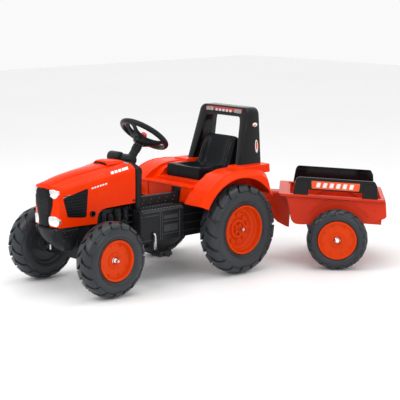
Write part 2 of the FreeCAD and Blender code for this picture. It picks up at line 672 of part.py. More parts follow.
def hood_section(wall, low, along):
    """The bonnet's cross-section at its nose or tail, drawn in by a wall."""
    half, edge, top = f"hood_{along}_half - {wall}", f"hood_{along}_edge", f"hood_{along}_top - {wall}"
    return [
        (f"-({half})", low), (half, low), (half, f"{edge} - {wall}"), (f"({half}) * 0.82", top),
        (f"-({half}) * 0.82", top), (f"-({half})", f"{edge} - {wall}"),
    ]


def loft(body, sections, kind):
    """A straight-sided loft between outlines across the Y axis."""
    outlines = [sketch(body, "XZ", points, f"-({station})") for station, points in sections]
    feature = body.newObject(f"PartDesign::{kind}Loft", f"{body.Name}_loft")
    feature.Profile = outlines[0]
    feature.Sections = outlines[1:]
    feature.Ruled = True
    return feature


def combine(kind, name, base, tool):
    """What two shapes share, or what is left of the first without the second."""
    item = document.addObject(f"Part::{kind}", name)
    item.Base, item.Tool = base, tool
    return item


def region(name, plane, points, start, end):
    """A plain prism that marks out a part of the bonnet."""
    body = new_body(name)
    block(body, plane, points, start, end)
    return body


def make_hood():
    """The orange bonnet, a thin shell open below and behind, cut up over the front wheels.
    It is made whole and then divided into its top, its nose and its two flanks."""
    body = new_body("hood_form")
    loft(body, [("hood_front", hood_section("0", "hood_low", "nose")),
                ("hood_rear", hood_section("0", "hood_low", "tail"))], "Additive")
    loft(body, [("hood_front + shell_wall", hood_section("shell_wall", "hood_low - 10", "nose")),
                ("hood_rear + 1", hood_section("shell_wall", "hood_low - 10", "tail"))], "Subtractive")
    cut(body, "YZ", [
        ("hood_step", "hood_low - 20"), ("hood_rear + 20", "hood_low - 20"),
        ("hood_rear + 20", "belt_rear"), ("hood_rear", "belt_rear"), ("hood_arch", "belt_front"),
        ("hood_step", "262"),
    ], "-dash_half - 20", "dash_half + 20")
    for low, high in both_sides("48", "58"):
        block(body, "YZ", [("hinge_y - 7", "hinge_z - 7"), ("hinge_y + 5", "hinge_z - 7"),
                           ("hinge_y + 5", "hinge_z + 13"), ("hinge_y - 7", "hinge_z + 12")], low, high)
    for side in (1, -1):
        start = "44" if side > 0 else "-62"
        bore(body, "3 + running_fit", (start, "hinge_y", "hinge_z"), "X", "18")
        start = "hood_nose_half" if side > 0 else "-hood_tail_half"
        bore(body, "bush_radius + 3", (start, "bush_y", "bush_z"), "X", "hood_tail_half - hood_nose_half")
    above = region("hood_above", "YZ", [
        ("hood_front - 20", "hood_nose_edge - shell_wall"),
        ("hood_rear + 20", "hood_tail_edge - shell_wall"), ("hood_rear + 20", "hood_tail_top + 20"),
        ("hood_front - 20", "hood_tail_top + 20"),
    ], "-dash_half - 20", "dash_half + 20")
    ahead = region("hood_ahead", "XY", box("-dash_half", "dash_half", "hood_front - 20",
                                           "hood_front + shell_wall"), "hood_low - 20", "hood_tail_top")
    subpart(combine("Common", "hood_top", body, above), "hood_top", TRACTOR)
    below = combine("Cut", "hood_below", body, above)
    subpart(combine("Common", "hood_nose", below, ahead), "hood_nose", TRACTOR)
    subpart(combine("Cut", "hood_flanks", below, ahead), "hood_flanks", TRACTOR)


def make_hood_fittings():
    """Grille, lamps, side grilles and the socket bushes for a loader."""
    grille = new_body("grille")
    block(grille, "XY", [
        ("-50", "hood_front"), ("-50", "hood_front - 5"), ("-30", "hood_front - 9"),
        ("30", "hood_front - 9"), ("50", "hood_front - 5"), ("50", "hood_front"),
    ], "258", "hood_nose_edge - 6")
    for side in (1, -1):
        for low, high in (("256", "292"), ("354", "hood_nose_edge")):
            cut(grille, "XZ", box(f"{side} * 42 - 12", f"{side} * 42 + 12", low, high), "hood_front - 20",
                "hood_front + 5")
    subpart(grille, "grille", TRACTOR)
    lamps = []
    for label, low, high in (("lower", 258, 290), ("upper", 356, 378)):
        for side_name, side in (("left", 1), ("right", -1)):
            lamp = document.addObject("Part::Box", f"lamp_{label}_{side_name}")
            lamp.Length, lamp.Width, lamp.Height = 30, 9, high - low
            lamp.setExpression("Placement.Base.x", bound(f"{side} * 47 - 15"))
            lamp.setExpression("Placement.Base.y", bound("hood_front - 9"))
            lamp.Placement.Base.z = low
            lamps.append(lamp)
    group("headlamps", lamps)
    make_side_grilles()
    bushes = []
    for side_name, side in (("left", 1), ("right", -1)):
        start = "hood_nose_half + 6" if side > 0 else "-hood_nose_half - 22"
        bushes.append(tube(f"loader_bush_{side_name}", "bush_radius + 3", "bush_radius",
                           (start, "bush_y", "bush_z"), "X", "16"))
    group("loader_bushes", bushes)


def make_side_grilles():
    """The black four-cornered insets on the bonnet's flanks, lying on its slanted sides."""
    body = new_body("side_grille")
    reach = "hood_rear - hood_front"
    block(body, "YZ", [
        ("25", "-92"), ("43", "-23"), ("120", "-7"), ("128", "-94"), ("120", "-102"), ("38", "-100"),
    ][::-1], "0", "2")
    turn = f"-atan((hood_tail_half - hood_nose_half) / ({reach}))"
    at = "vector(hood_nose_half; hood_front; hood_nose_edge)"
    body.setExpression("Placement", bound(f"placement({at}; rotation(vector(0;0;1); {turn}))"))
    group("side_grilles", [body, loose_mirror("side_grille_right", body)])


def make_hinge_pins():
    """Pins that carry the bonnet on the cowl's ears."""
    pins = [plain_rod(f"hinge_pin_{side}", "3", (start, "hinge_y", "hinge_z"), "X", "30")
            for side, start in (("left", "46"), ("right", "-76"))]
    group("hood_hinge_pins", pins)


# ---- steering ----

def make_steering_wheel():
    body = new_body("steering_wheel")
    ring = body.newObject("PartDesign::AdditiveTorus", "steering_ring")
    ring.setExpression("Radius1", bound("ring_radius"))
    ring.setExpression("Radius2", bound("ring_tube"))
    rod(body, "hub_radius", ("0", "0", "hub_base"), "Z", "hub_top - hub_base")
    spoke = block(body, "XZ", [
        ("18", "hub_base + 4"), ("ring_radius - 4", "-6"), ("ring_radius - 4", "5"), ("24", "hub_top"),
        ("18", "hub_top"),
    ], "-10", "10")
    pattern(body, [spoke], "Z", "3")
    bore(body, "horn_radius + free_gap", ("0", "0", "hub_top - 12"), "Z", "20")
    bore(body, "column_rod", ("0", "0", "hub_base - 5"), "Z", "25")
    turn = " * placement(vector(0;0;0); rotation(vector(0;0;1); spoke_angle))"
    subpart(body, "steering_wheel", STEERING + turn)


def make_column():
    """The steel column with its crank at the foot, and the horn button in the hub."""
    body = new_body("steering_column")
    foot = "-column_length"
    rod(body, "column_rod", ("0", "0", foot), "Z", "column_length + hub_top - 12")
    rod(body, "5", ("0", "-2", f"{foot} + 5"), "Y", "crank_throw + 2")
    rod(body, "pin_rod", ("0", "crank_throw", f"{foot} - 22"), "Z", "27")
    subpart(body, "steering_column", STEERING)
    button = plain_rod("horn_disc", "horn_radius", ("0", "0", "hub_top - 7"), "Z", "17")
    group("horn_button", [button], STEERING)
    spring = tube("horn_sleeve", "10", "8", ("0", "0", "hub_top - 12"), "Z", "5")
    group("horn_spring", [spring], STEERING)


# ---- rear ----

def make_fenders():
    """The orange rear moulding: seat deck, roll bar pads and a hollow fender over each wheel."""
    body = new_body("fender_unit")
    wall = "shell_wall"
    deck = [("deck_front", "foot_level + 4"), ("deck_rear", "foot_level + 4"), ("deck_rear", "deck_level"),
            ("deck_front + 12", "deck_level")]
    block(body, "YZ", deck, "-deck_half", "deck_half")
    crown = fender_profile("0")
    hollow = fender_profile(wall)
    for low, high in both_sides("fender_in - 4", "fender_out"):
        block(body, "YZ", crown, low, high)
    for low, high in both_sides("118", "200"):
        block(body, "YZ", [("56", "deck_level - 2"), ("bar_rear + 4", "deck_level - 2"),
                           ("bar_rear + 4", "pad_level"), ("72", "pad_level")], low, high)
    cut(body, "YZ", [(f"deck_front + {wall}", "foot_level - 5"), (f"deck_rear - {wall}", "foot_level - 5"),
                     (f"deck_rear - {wall}", f"deck_level - {wall}"),
                     ("deck_front + 14", f"deck_level - {wall}"),
                     (f"deck_front + {wall}", "foot_level + 4")],
        f"{wall} - tail_half - 30", f"tail_half + 30 - {wall}")
    for low, high in both_sides(f"fender_in + {wall} - 4", f"fender_out - {wall}"):
        cut(body, "YZ", hollow, low, high)
    for side in (1, -1):
        cut(body, "XY", box(f"{side} * 50 - 4.5", f"{side} * 50 + 4.5", "-10", "62"), "deck_level - 10",
            "deck_level + 5")
    subpart(body, "fender_unit", TRACTOR)


def fender_profile(wall):
    """The fender seen from the side: the wheel arch below and a crown that flattens to the rear.
    With a wall it is the hollow inside, opened below into the arch."""
    inner = f"(arch_radius - 3 * {wall})"
    outer = f"(crown_radius - {wall})"
    level = "rear_radius"
    front_low = (f"-{inner} * cos(33)", f"{level} + {inner} * sin(33)")
    rear_low = (f"{inner} * cos(36)", f"{level} + {inner} * sin(36)")
    return [
        (front_low[0], front_low[1]), (rear_low[0], rear_low[1], f"-{inner}"),
        (f"175 - {wall}", "298"), (f"147 - {wall}", f"379 - {wall}"), (f"108 - {wall}", f"394 - {wall}"),
        (f"-{outer} * cos(84)", f"{level} + {outer} * sin(84)"),
        (f"-{outer} * cos(29)", f"{level} + {outer} * sin(29)", outer),
    ]


def make_roll_bar():
    """The black roll bar: a tapering hoop that is deep at its feet, and its plain front plate."""
    body = new_body("roll_bar")
    inner_foot, inner_top = "bar_foot - bar_width", "bar_top - bar_width - 10"
    block(body, "XZ", [
        ("bar_foot", "pad_level"), ("bar_top + 5", "bar_height - 30"), ("bar_top - 22", "bar_height", "30"),
        ("22 - bar_top", "bar_height"), ("-bar_top - 5", "bar_height - 30", "30"),
        ("-bar_foot", "pad_level"), (f"-({inner_foot})", "pad_level"), (f"-({inner_top})", "bar_height - 38"),
        (inner_top, "bar_height - 38"), (inner_foot, "pad_level"),
    ], "bar_front", "bar_rear")
    cut(body, "YZ", [
        ("bar_front - 5", "pad_level - 5"), ("bar_front", "pad_level"),
        ("bar_front + 55", "bar_height - 30"), ("bar_front + 60", "bar_height + 5"),
        ("bar_front - 5", "bar_height + 5"),
    ], "-bar_foot - 5", "bar_foot + 5")
    subpart(body, "roll_bar", TRACTOR)
    plate = new_body("roll_bar_plate")
    block(plate, "YZ", [
        ("bar_front + 55 + 2/7", "bar_height - 28"), ("bar_front + 55 + 24/7", "bar_height - 6"),
        ("bar_front + 53 + 24/7", "bar_height - 6"), ("bar_front + 53 + 2/7", "bar_height - 28"),
    ], "-100", "100")
    subpart(plate, "roll_bar_plate", TRACTOR)


def make_seat():
    """A one-piece seat with its backrest, and the two bolts that let it slide in the deck's slots."""
    body = new_body("seat")
    low = "deck_level + seat_gap"
    block(body, "YZ", [
        ("-68", low), ("104", low), ("132", "372"), ("156", "490"), ("146", "506"), ("134", "506"),
        ("96", "400"), ("70", "384"), ("-40", "402"), ("-60", "402"), ("-71", "390"),
    ], "-seat_half", "seat_half")
    subpart(body, "seat", TRACTOR)
    bolts = []
    for side_name, side in (("left", 1), ("right", -1)):
        item = document.addObject("Part::Fuse", f"seat_bolt_{side_name}")
        item.Base = plain_rod(f"shank_{side_name}", "4", (f"{side} * 50", "26", "deck_level - 12"), "Z",
                              "12 + seat_gap")
        item.Tool = plain_rod(f"nut_{side_name}", "9", (f"{side} * 50", "26", "deck_level - 16"), "Z", "8")
        bolts.append(item)
    group("seat_bolts", bolts)


# ---- trailer ----

def make_hitch():
    """The bracket on the body's tail and the pin that drops through it and the drawbar's eye."""
    body = new_body("hitch_bracket")
    block(body, "YZ", [("body_rear", "205"), ("hitch_y", "hitch_level - 14"),
                       ("hitch_y + 18", "hitch_level - 12"), ("hitch_y + 18", "hitch_level"),
                        ("body_rear", "hitch_level")], "-22", "22")
    bore(body, "5", ("0", "hitch_y", "180"), "Z", "100")
    subpart(body, "hitch_bracket", TRACTOR)
    pin = document.addObject("Part::Fuse", "pin_and_head")
    pin.Base = plain_rod("pin_shank", "5", ("0", "hitch_y", "hitch_level - 24"), "Z", "60")
    pin.Tool = plain_rod("pin_head", "10", ("0", "hitch_y", "hitch_level + 29"), "Z", "7")
    group("hitch_pin", [pin])


def make_tub():
    """The orange tub with its rim, wheel arches, axle lugs and the drawbar with its eye."""
    body = new_body("trailer_tub")
    wall = "shell_wall"
    block(body, "YZ", [
        ("-228", "rim_level"), ("-206", "256"), ("-182", "166"), ("-150", "156"), ("122", "178"),
        ("191", "207"),
        ("181", "rim_level"),
    ], "-tub_half", "tub_half")
    block(body, "XY", box("-rim_half", "rim_half", "-241", "187"), "rim_level - rim_depth", "rim_level")
    block(body, "YZ", drawbar_profile("0"), "-34", "34")
    for inner, outer in (("14", "36"), ("-36", "-14")):
        cut(body, "XY", box(inner, outer, "-drawbar_length - 25", "-395"), "200", "270")
    for low, high in both_sides("96", "108"):
        block(body, "YZ", [("-26", "105"), ("26", "105"), ("60", "180"), ("-60", "180")], low, high)
    cut(body, "YZ", [
        ("-223", "rim_level + 5"), ("-202", "256"), ("-178", "170"), ("-148", "160"), ("121", "182"),
        ("187", "209"), ("177", "rim_level + 5"),
    ], f"{wall} - tub_half", f"tub_half - {wall}")
    for low, high in both_sides("tub_half - arch_depth - 4", "tub_half - 1"):
        block(body, "YZ", arch_profile("183", 4), low, high)
    for low, high in both_sides("tub_half - arch_depth", "tub_half + 2"):
        cut(body, "YZ", arch_profile("145", 0), low, high)
    cut(body, "YZ", drawbar_profile("shell_wall"), "-30", "30")
    bore(body, "stub_rod", ("-150", "0", "trailer_radius"), "X", "300")
    eye = "-(drawbar_length + (trailer_radius - 234) * sin(trailer_pitch)) / cos(trailer_pitch)"
    bore(body, "6.5", ("0", eye, "200"), "Z", "80")
    subpart(body, "trailer_tub", TRAILER)


def arch_profile(low, wall):
    """A wheel arch's segment above a level, centred on the axle."""
    radius = f"(arch_bulge + {wall})"
    half = f"sqrt({radius}^2 - ({low} - trailer_radius)^2)"
    return [(f"-{half}", low), (half, low), ("0", f"trailer_radius + {radius}", radius),
            ]


def drawbar_profile(wall):
    """The drawbar from the side: a keel that rises to the eye. With a wall, its channel below."""
    return [
        (f"-205 + 2 * {wall}", f"130 - 8 * {wall}"), (f"-205 + 2 * {wall}", f"262 - {wall}"),
        ("-300", f"262 - {wall}"), (f"-drawbar_length - 20 + 17 * {wall}", f"243 - {wall}"),
        (f"-drawbar_length - 20 + 17 * {wall}", f"225 - 8 * {wall}"), ("-355", f"222 - 8 * {wall}"),
    ]


def make_boards():
    """A black side board with two posts, standing on each side of the rim."""
    body = new_body("side_board_left")
    block(body, "YZ", [
        ("-184", "rim_level"), ("-124", "rim_level"), ("-121", "rim_level + 21"), ("84", "rim_level + 21"),
        ("88", "rim_level"), ("150", "rim_level"), ("139", "board_level - 14"), ("133", "board_level"),
        ("-171", "board_level"), ("-177", "board_level - 12"),
    ], "tub_half - 6", "tub_half + 4")
    subpart(body, "side_board_left", TRAILER)
    mirrored("side_board_right", body, ("cos(trailer_yaw)", "sin(trailer_yaw)", "0"),
             ("origin_x", "origin_y + hitch_y", "0"))


# ---- assembly ----

def build():
    make_main_body()
    make_bushes()
    make_engine_block()
    make_front_bumper()
    make_front_axle()
    make_knuckles()
    make_tie_rod()
    make_dash()
    make_column_sleeve()
    make_screws()
    make_drive_chain()
    sprocket("crank_sprocket", "crank_sprocket_radius", "stub_rod", ("crank_y", "crank_z"), 24)
    sprocket("rear_sprocket", "rear_sprocket_radius", "axle_rod", ("0", "rear_radius"), 16)
    make_crank()
    make_hood()
    make_hood_fittings()
    make_hinge_pins()
    make_steering_wheel()
    make_column()
    make_fenders()
    make_roll_bar()
    make_seat()
    make_hitch()
    make_tub()
    make_boards()
    make_rear_wheels()
    make_front_wheels()
    make_trailer_wheels()


def centre_origin():
    """Moves the assembly so that the middle of its footprint stands at the origin."""
    document.recompute()
    whole = FreeCAD.BoundBox()
    for item in subparts:
        whole.add(item.Shape.optimalBoundingBox(False))
    for word, middle in (("origin_x", whole.Center.x), ("origin_y", whole.Center.y)):
        sheet.set(sheet.getCellFromAlias(word), f"{-middle:.4f}")
    document.recompute()


def check():
    """Stops if any object failed or any sub-part is missing, empty or broken."""
    for item in document.Objects:
        if "Invalid" in item.State or "Error" in item.State:
            raise RuntimeError(f"{item.Label} failed: {item.State}")
    for item in subparts:
        if item.Shape.isNull() or not item.Shape.isValid() or not item.Shape.Solids:
            raise RuntimeError(f"{item.Label} has no valid solid")


def export():
    os.makedirs("parts", exist_ok=True)
    for item in subparts:
        item.Shape.exportStep(os.path.join("parts", f"{item.Label}.step"))


build()
centre_origin()
check()
export()
print(len(subparts), "sub-parts, zero at", sheet.get("origin_x"), sheet.get("origin_y"))
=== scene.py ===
import json
import math

import bmesh
import bpy
from mathutils import Matrix, Vector


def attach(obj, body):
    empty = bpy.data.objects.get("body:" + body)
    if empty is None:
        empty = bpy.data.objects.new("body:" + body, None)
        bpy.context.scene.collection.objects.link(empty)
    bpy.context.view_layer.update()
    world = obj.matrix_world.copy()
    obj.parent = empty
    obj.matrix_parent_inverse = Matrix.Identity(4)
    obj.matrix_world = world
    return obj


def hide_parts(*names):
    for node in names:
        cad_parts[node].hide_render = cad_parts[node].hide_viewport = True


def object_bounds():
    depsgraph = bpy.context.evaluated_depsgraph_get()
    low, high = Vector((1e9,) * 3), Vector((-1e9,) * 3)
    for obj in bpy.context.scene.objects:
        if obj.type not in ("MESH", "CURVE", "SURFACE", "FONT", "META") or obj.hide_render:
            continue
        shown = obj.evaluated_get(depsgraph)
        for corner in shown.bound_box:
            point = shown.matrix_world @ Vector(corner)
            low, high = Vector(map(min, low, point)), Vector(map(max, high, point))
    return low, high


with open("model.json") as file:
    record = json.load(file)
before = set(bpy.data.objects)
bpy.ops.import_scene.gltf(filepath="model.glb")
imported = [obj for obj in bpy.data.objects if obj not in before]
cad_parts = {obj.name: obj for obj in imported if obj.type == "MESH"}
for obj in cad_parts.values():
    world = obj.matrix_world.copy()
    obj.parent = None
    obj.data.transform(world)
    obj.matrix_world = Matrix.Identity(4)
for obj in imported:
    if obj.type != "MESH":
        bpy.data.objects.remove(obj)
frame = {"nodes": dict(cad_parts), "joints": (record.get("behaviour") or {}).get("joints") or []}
cad_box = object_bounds()

# ---- frames: every shape is drawn in millimetres in one of these, then placed in metres ----

JOINTS = {joint["name"]: joint for joint in frame["joints"]}
MM = Matrix.Scale(0.001, 4)


def spot(joint):
    """Where a joint is, in metres."""
    return Vector(JOINTS[joint]["pos_m"])


def turn(degrees, axis):
    return Matrix.Rotation(math.radians(degrees), 4, axis)


def shift(x, y, z):
    return Matrix.Translation((x, y, z))


MIRROR = Matrix.Scale(-1, 4, Vector((1, 0, 0)))
SIDES = (("left", 1), ("right", -1))
COLUMN_TILT = 37.66
TRAILER_YAW, TRAILER_PITCH, TRAILER_RADIUS = -46.63, -3.2, 120
REAR_WHEEL_X, REAR_RADIUS = 237, 175
CRANK_Y, CRANK_Z, CRANK_ARM = -347, 188, 66
FLOOR_HALF, FLOOR_LEVEL = 143, 278
RING = 92
zero = spot("drive_spin")
TRACTOR = Matrix.Translation((zero.x, zero.y, 0)) @ MM
STEERING = Matrix.Translation(spot("steering_turn")) @ turn(-COLUMN_TILT, "X") @ MM
axle_middle = (spot("trailer_left_spin") + spot("trailer_right_spin")) / 2
TRAILER = (Matrix.Translation(axle_middle) @ turn(TRAILER_YAW, "Z") @ turn(TRAILER_PITCH, "X") @ MM
           @ shift(0, 0, -TRAILER_RADIUS))


# ---- materials ----

def nodes_of(name):
    material = bpy.data.materials.new(name)
    material.use_nodes = True
    tree = material.node_tree
    return material, tree, tree.nodes["Principled BSDF"]


def noise(tree, scale, detail=3.0, rough=0.5):
    place = tree.nodes.new("ShaderNodeTexCoord")
    item = tree.nodes.new("ShaderNodeTexNoise")
    item.inputs["Scale"].default_value = scale
    item.inputs["Detail"].default_value = detail
    item.inputs["Roughness"].default_value = rough
    tree.links.new(place.outputs["Object"], item.inputs["Vector"])
    return item.outputs["Fac"]


def ramp(tree, factor, stops):
    item = tree.nodes.new("ShaderNodeValToRGB")
    elements = item.color_ramp.elements
    while len(elements) < len(stops):
        elements.new(0.5)
    for element, (place, value) in zip(elements, stops):
        element.position = place
        element.color = (*value, 1)
    tree.links.new(factor, item.inputs["Fac"])
    return item.outputs["Color"]


def grey(value):
    return (value, value, value)


def bump(tree, shader, height, strength, distance):
    item = tree.nodes.new("ShaderNodeBump")
    item.inputs["Strength"].default_value = strength
    item.inputs["Distance"].default_value = distance
    tree.links.new(height, item.inputs["Height"])
    tree.links.new(item.outputs["Normal"], shader.inputs["Normal"])


def plastic(name, low, high, rough, grain, strength, coat=0.0, scale=6.0, metal=0.0, spread=0.05, spec=0.5):
    """Moulded plastic or metal: slow colour drift, grain in the bump and an uneven sheen."""
    material, tree, shader = nodes_of(name)
    tree.links.new(ramp(tree, noise(tree, scale), [(0.3, low), (0.7, high)]), shader.inputs["Base Color"])
    sheen = noise(tree, scale * 4, 5.0)
    tree.links.new(ramp(tree, sheen, [(0.25, grey(rough - spread)), (0.75, grey(rough + spread))]),
                   shader.inputs["Roughness"])
    bump(tree, shader, noise(tree, grain, 4.0, 0.6), strength, 0.0004)
    shader.inputs["Metallic"].default_value = metal
    shader.inputs["Specular IOR Level"].default_value = spec
    shader.inputs["Coat Weight"].default_value = coat
    shader.inputs["Coat Roughness"].default_value = 0.12
    return material


ORANGE = plastic("orange_gloss", (0.80, 0.03, 0.0002), (0.86, 0.04, 0.0003), 0.25, 260, 0.06, coat=0.05,
                 spec=0.06)
RIM_ORANGE = plastic("rim_orange", (0.62, 0.04, 0.001), (0.7, 0.054, 0.002), 0.32, 240, 0.08, coat=0.04,
                     spec=0.1)
RED = plastic("trailer_red", (0.58, 0.028, 0.006), (0.66, 0.038, 0.009), 0.3, 220, 0.1, coat=0.08, spec=0.12)
BLACK = plastic("black_satin", (0.009, 0.0095, 0.011), (0.015, 0.016, 0.018), 0.32, 420, 0.3, spec=0.16)
GLOSS_BLACK = plastic("black_gloss", (0.004, 0.004, 0.005), (0.007, 0.007, 0.008), 0.14, 160, 0.06, coat=0.15,
                      spec=0.16)
TYRE = plastic("tyre_satin", (0.022, 0.026, 0.03), (0.034, 0.039, 0.044), 0.33, 500, 0.3, spec=0.3)
STEEL = plastic("steel", (0.5, 0.5, 0.51), (0.62, 0.62, 0.63), 0.3, 300, 0.15, metal=1.0)
CHROME = plastic("chrome", (0.82, 0.82, 0.84), (0.9, 0.9, 0.92), 0.09, 200, 0.03, metal=1.0, spread=0.03)
HORN_RED = plastic("horn_red", (0.75, 0.008, 0.022), (0.83, 0.014, 0.032), 0.22, 200, 0.05, coat=0.5)
WHITE = plastic("white_print", (0.78, 0.78, 0.78), (0.86, 0.86, 0.86), 0.4, 200, 0.05)
SILVER = plastic("silver_print", (0.5, 0.5, 0.52), (0.6, 0.6, 0.62), 0.35, 200, 0.05, metal=0.4)
LABEL_RED = plastic("label_red", (0.36, 0.022, 0.016), (0.42, 0.03, 0.02), 0.35, 200, 0.04)
LABEL_GREY = plastic("label_grey", (0.24, 0.23, 0.22), (0.42, 0.41, 0.4), 0.35, 200, 0.04, scale=40)
LABEL_ORANGE = plastic("label_orange", (0.8, 0.07, 0.006), (0.88, 0.1, 0.01), 0.32, 200, 0.04)
SEAT = plastic("seat_satin", (0.004, 0.0045, 0.006), (0.007, 0.008, 0.01), 0.27, 420, 0.2, spec=0.1)
# the tread bars are black plastic; this light grey is a painted highlight for the sheen they catch
TREAD_PAINTED_HIGHLIGHT = plastic("tread_painted_highlight", (0.16, 0.162, 0.168), (0.26, 0.262, 0.27), 0.3, 300, 0.2)
# the ribs and rivets are black plastic; this slightly lighter black is a painted highlight along them
RIB_PAINTED_HIGHLIGHT = plastic("rib_painted_highlight", (0.03, 0.031, 0.034), (0.045, 0.047, 0.05), 0.3, 300, 0.2, spec=0.2)


def lamp_material():
    """Bright facets under clear plastic."""
    material, tree, shader = nodes_of("lamp_facets")
    place = tree.nodes.new("ShaderNodeTexCoord")
    cells = tree.nodes.new("ShaderNodeTexVoronoi")
    cells.inputs["Scale"].default_value = 110
    tree.links.new(place.outputs["Object"], cells.inputs["Vector"])
    tree.links.new(ramp(tree, cells.outputs["Distance"], [(0.1, grey(0.62)), (0.75, grey(0.9))]),
                   shader.inputs["Base Color"])
    bump(tree, shader, cells.outputs["Distance"], 0.5, 0.0012)
    shader.inputs["Metallic"].default_value = 0.75
    shader.inputs["Roughness"].default_value = 0.16
    shader.inputs["Coat Weight"].default_value = 0.8
    return material


LAMP = lamp_material()


# ---- mesh helpers ----

def finish_mesh(name, bm, material, body, replaces=(), round_by=0.0, smooth=35, place=TRACTOR):
    """Turns a bmesh drawn in millimetres into a piece that rides on a body."""
    bmesh.ops.remove_doubles(bm, verts=bm.verts, dist=0.01)
    bmesh.ops.recalc_face_normals(bm, faces=bm.faces)
    bm.transform(place)
    if place.determinant() < 0:
        bmesh.ops.reverse_faces(bm, faces=bm.faces)
    mesh = bpy.data.meshes.new(name)
    bm.to_mesh(mesh)
    bm.free()
    piece = bpy.data.objects.new(name, mesh)
    bpy.context.scene.collection.objects.link(piece)
    mesh.shade_smooth()
    mesh.set_sharp_from_angle(angle=math.radians(smooth))
    if round_by:
        bevel = piece.modifiers.new("rounding", "BEVEL")
        bevel.width = round_by / 1000
        bevel.segments = 2
        bevel.limit_method = "ANGLE"
        bevel.angle_limit = math.radians(28)
        bevel.harden_normals = True
    mesh.materials.append(material)
    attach(piece, body)
    if replaces:
        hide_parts(*replaces)
    return piece


def skin(bm, loops, closed=True, caps=True):
    """Faces between a row of point loops of one length, with its ends capped."""
    rows = [[bm.verts.new(point) for point in loop] for loop in loops]
    count = len(rows[0])
    for first, second in zip(rows, rows[1:]):
        for index in range(count if closed else count - 1):
            after = (index + 1) % count
            bm.faces.new((first[index], first[after], second[after], second[index]))
    if caps:
        bm.faces.new(rows[0][::-1])
        bm.faces.new(rows[-1])


def prism(bm, outline, low, high, axis="X"):
    """An outline of (u, v) drawn across an axis and stood from low to high along it."""
    def point(u, v, along):
        return {"X": (along, u, v), "Y": (u, along, v), "Z": (u, v, along)}[axis]
    skin(bm, [[point(u, v, low) for u, v in outline], [point(u, v, high) for u, v in outline]])


def side_prism(bm, side, outline, low, high):
    """A prism across X from low to high on the left, or its like on the right."""
    prism(bm, outline, *sorted((side * low, side * high)), "X")


def turned(bm, profile, steps=64, close=False, middle=(0, 0)):
    """A profile of (along X, out from it), turned about the X axis."""
    loops = []
    for step in range(steps):
        angle = math.tau * step / steps
        c, s = math.cos(angle), math.sin(angle)
        loops.append([(x, middle[0] + r * c, middle[1] + r * s) for x, r in profile])
    rows = [[bm.verts.new(point) for point in loop] for loop in loops]
    count = len(profile)
    for index in range(steps):
        first, second = rows[index], rows[(index + 1) % steps]
        for row in range(count if close else count - 1):
            after = (row + 1) % count
            bm.faces.new((first[row], first[after], second[after], second[row]))


def moved(bm, draw, move):
    """Draws a shape, then moves only the points that it added."""
    start = len(bm.verts)
    draw()
    bm.verts.ensure_lookup_table()
    for vert in bm.verts[start:]:
        vert.co = move(vert.co)


def stand(bm):
    """Stands up along Z a whole shape that was drawn about the X axis."""
    for vert in bm.verts:
        vert.co = vert.co.yzx


def boxed(bm, low, high):
    """A box between two corners."""
    (a, b, base), (c, d, top) = low, high
    prism(bm, [(a, b), (c, b), (c, d), (a, d)], base, top, "Z")


def side_box(bm, side, low, high):
    """A box given by its corners on the left, set on either side."""
    a, b = sorted((side * low[0], side * high[0]))
    boxed(bm, (a, *low[1:]), (b, *high[1:]))


def disc(bm, radius, low, high, middle=(0, 0), steps=24, dome=0.0):
    """A short solid cylinder along X, with its high face domed if asked."""
    profile = [(low, 0.001), (low, radius), (high - dome, radius)]
    if dome:
        for step in (0.35, 0.7, 0.92):
            profile.append((high - dome * (1 - step) ** 1.6, radius * math.cos(step * math.pi / 2)))
    profile.append((high, 0.001))
    turned(bm, profile, steps, middle=middle)


def side_disc(bm, side, *shape, **more):
    """A disc given on the left, set on either side."""
    moved(bm, lambda: disc(bm, *shape, **more), lambda co: (side * co.x, co.y, co.z))


def smooth_path(points, steps):
    """Points along a Catmull-Rom curve through the given ones."""
    given = [Vector(p) for p in points]
    given = [given[0] * 2 - given[1]] + given + [given[-1] * 2 - given[-2]]
    path = []
    for index in range(1, len(given) - 2):
        a, b, c, d = given[index - 1:index + 3]
        for step in range(steps):
            t = step / steps
            path.append(0.5 * ((2 * b) + (c - a) * t + (2 * a - 5 * b + 4 * c - d) * t * t
                               + (3 * b - a - 3 * c + d) * t ** 3))
    path.append(given[-2].copy())
    return path


def sweep(bm, path, outline, up=(0, 0, 1)):
    """Carries an outline of (across, up) points along a path."""
    loops = []
    for index, point in enumerate(path):
        along = (Vector(path[min(index + 1, len(path) - 1)]) - Vector(path[max(0, index - 1)])).normalized()
        across = along.cross(Vector(up)).normalized()
        top = across.cross(along).normalized()
        loops.append([Vector(point) + across * a + top * b for a, b in outline])
    skin(bm, loops)


def circle(radius, steps=12):
    return [(radius * math.cos(math.tau * k / steps), radius * math.sin(math.tau * k / steps))
            for k in range(steps)]


def rounded(points, radius, steps=4):
    """An outline with its corners turned into arcs."""
    result = []
    count = len(points)
    for index in range(count):
        before, corner, after = (Vector(points[(index + k) % count]) for k in (-1, 0, 1))
        first = (before - corner)
        second = (after - corner)
        reach = min(radius, first.length * 0.45, second.length * 0.45)
        start = corner + first.normalized() * reach
        end = corner + second.normalized() * reach
        for step in range(steps + 1):
            t = step / steps
            result.append(tuple(start * (1 - t) ** 2 + corner * 2 * t * (1 - t) + end * t * t))
    return result


# ---- wheels: drawn about the X axis, X outwards ----

WHEELS = {
    "front": {"radius": 139, "width": 90, "bead": 76.5, "lug": 8, "lugs": 18, "crown": 12, "reach": 0.46,
              "lug_wide": 0.74},
    "rear": {"radius": 175, "width": 91, "bead": 96.5, "lug": 10, "lugs": 18, "crown": 13, "reach": 0.44,
             "lug_wide": 0.72},
    "trailer": {"radius": 120, "width": 70, "bead": 76.5, "lug": 5, "lugs": 20, "crown": 9, "reach": 0.5,
                "lug_wide": 0.6},
}


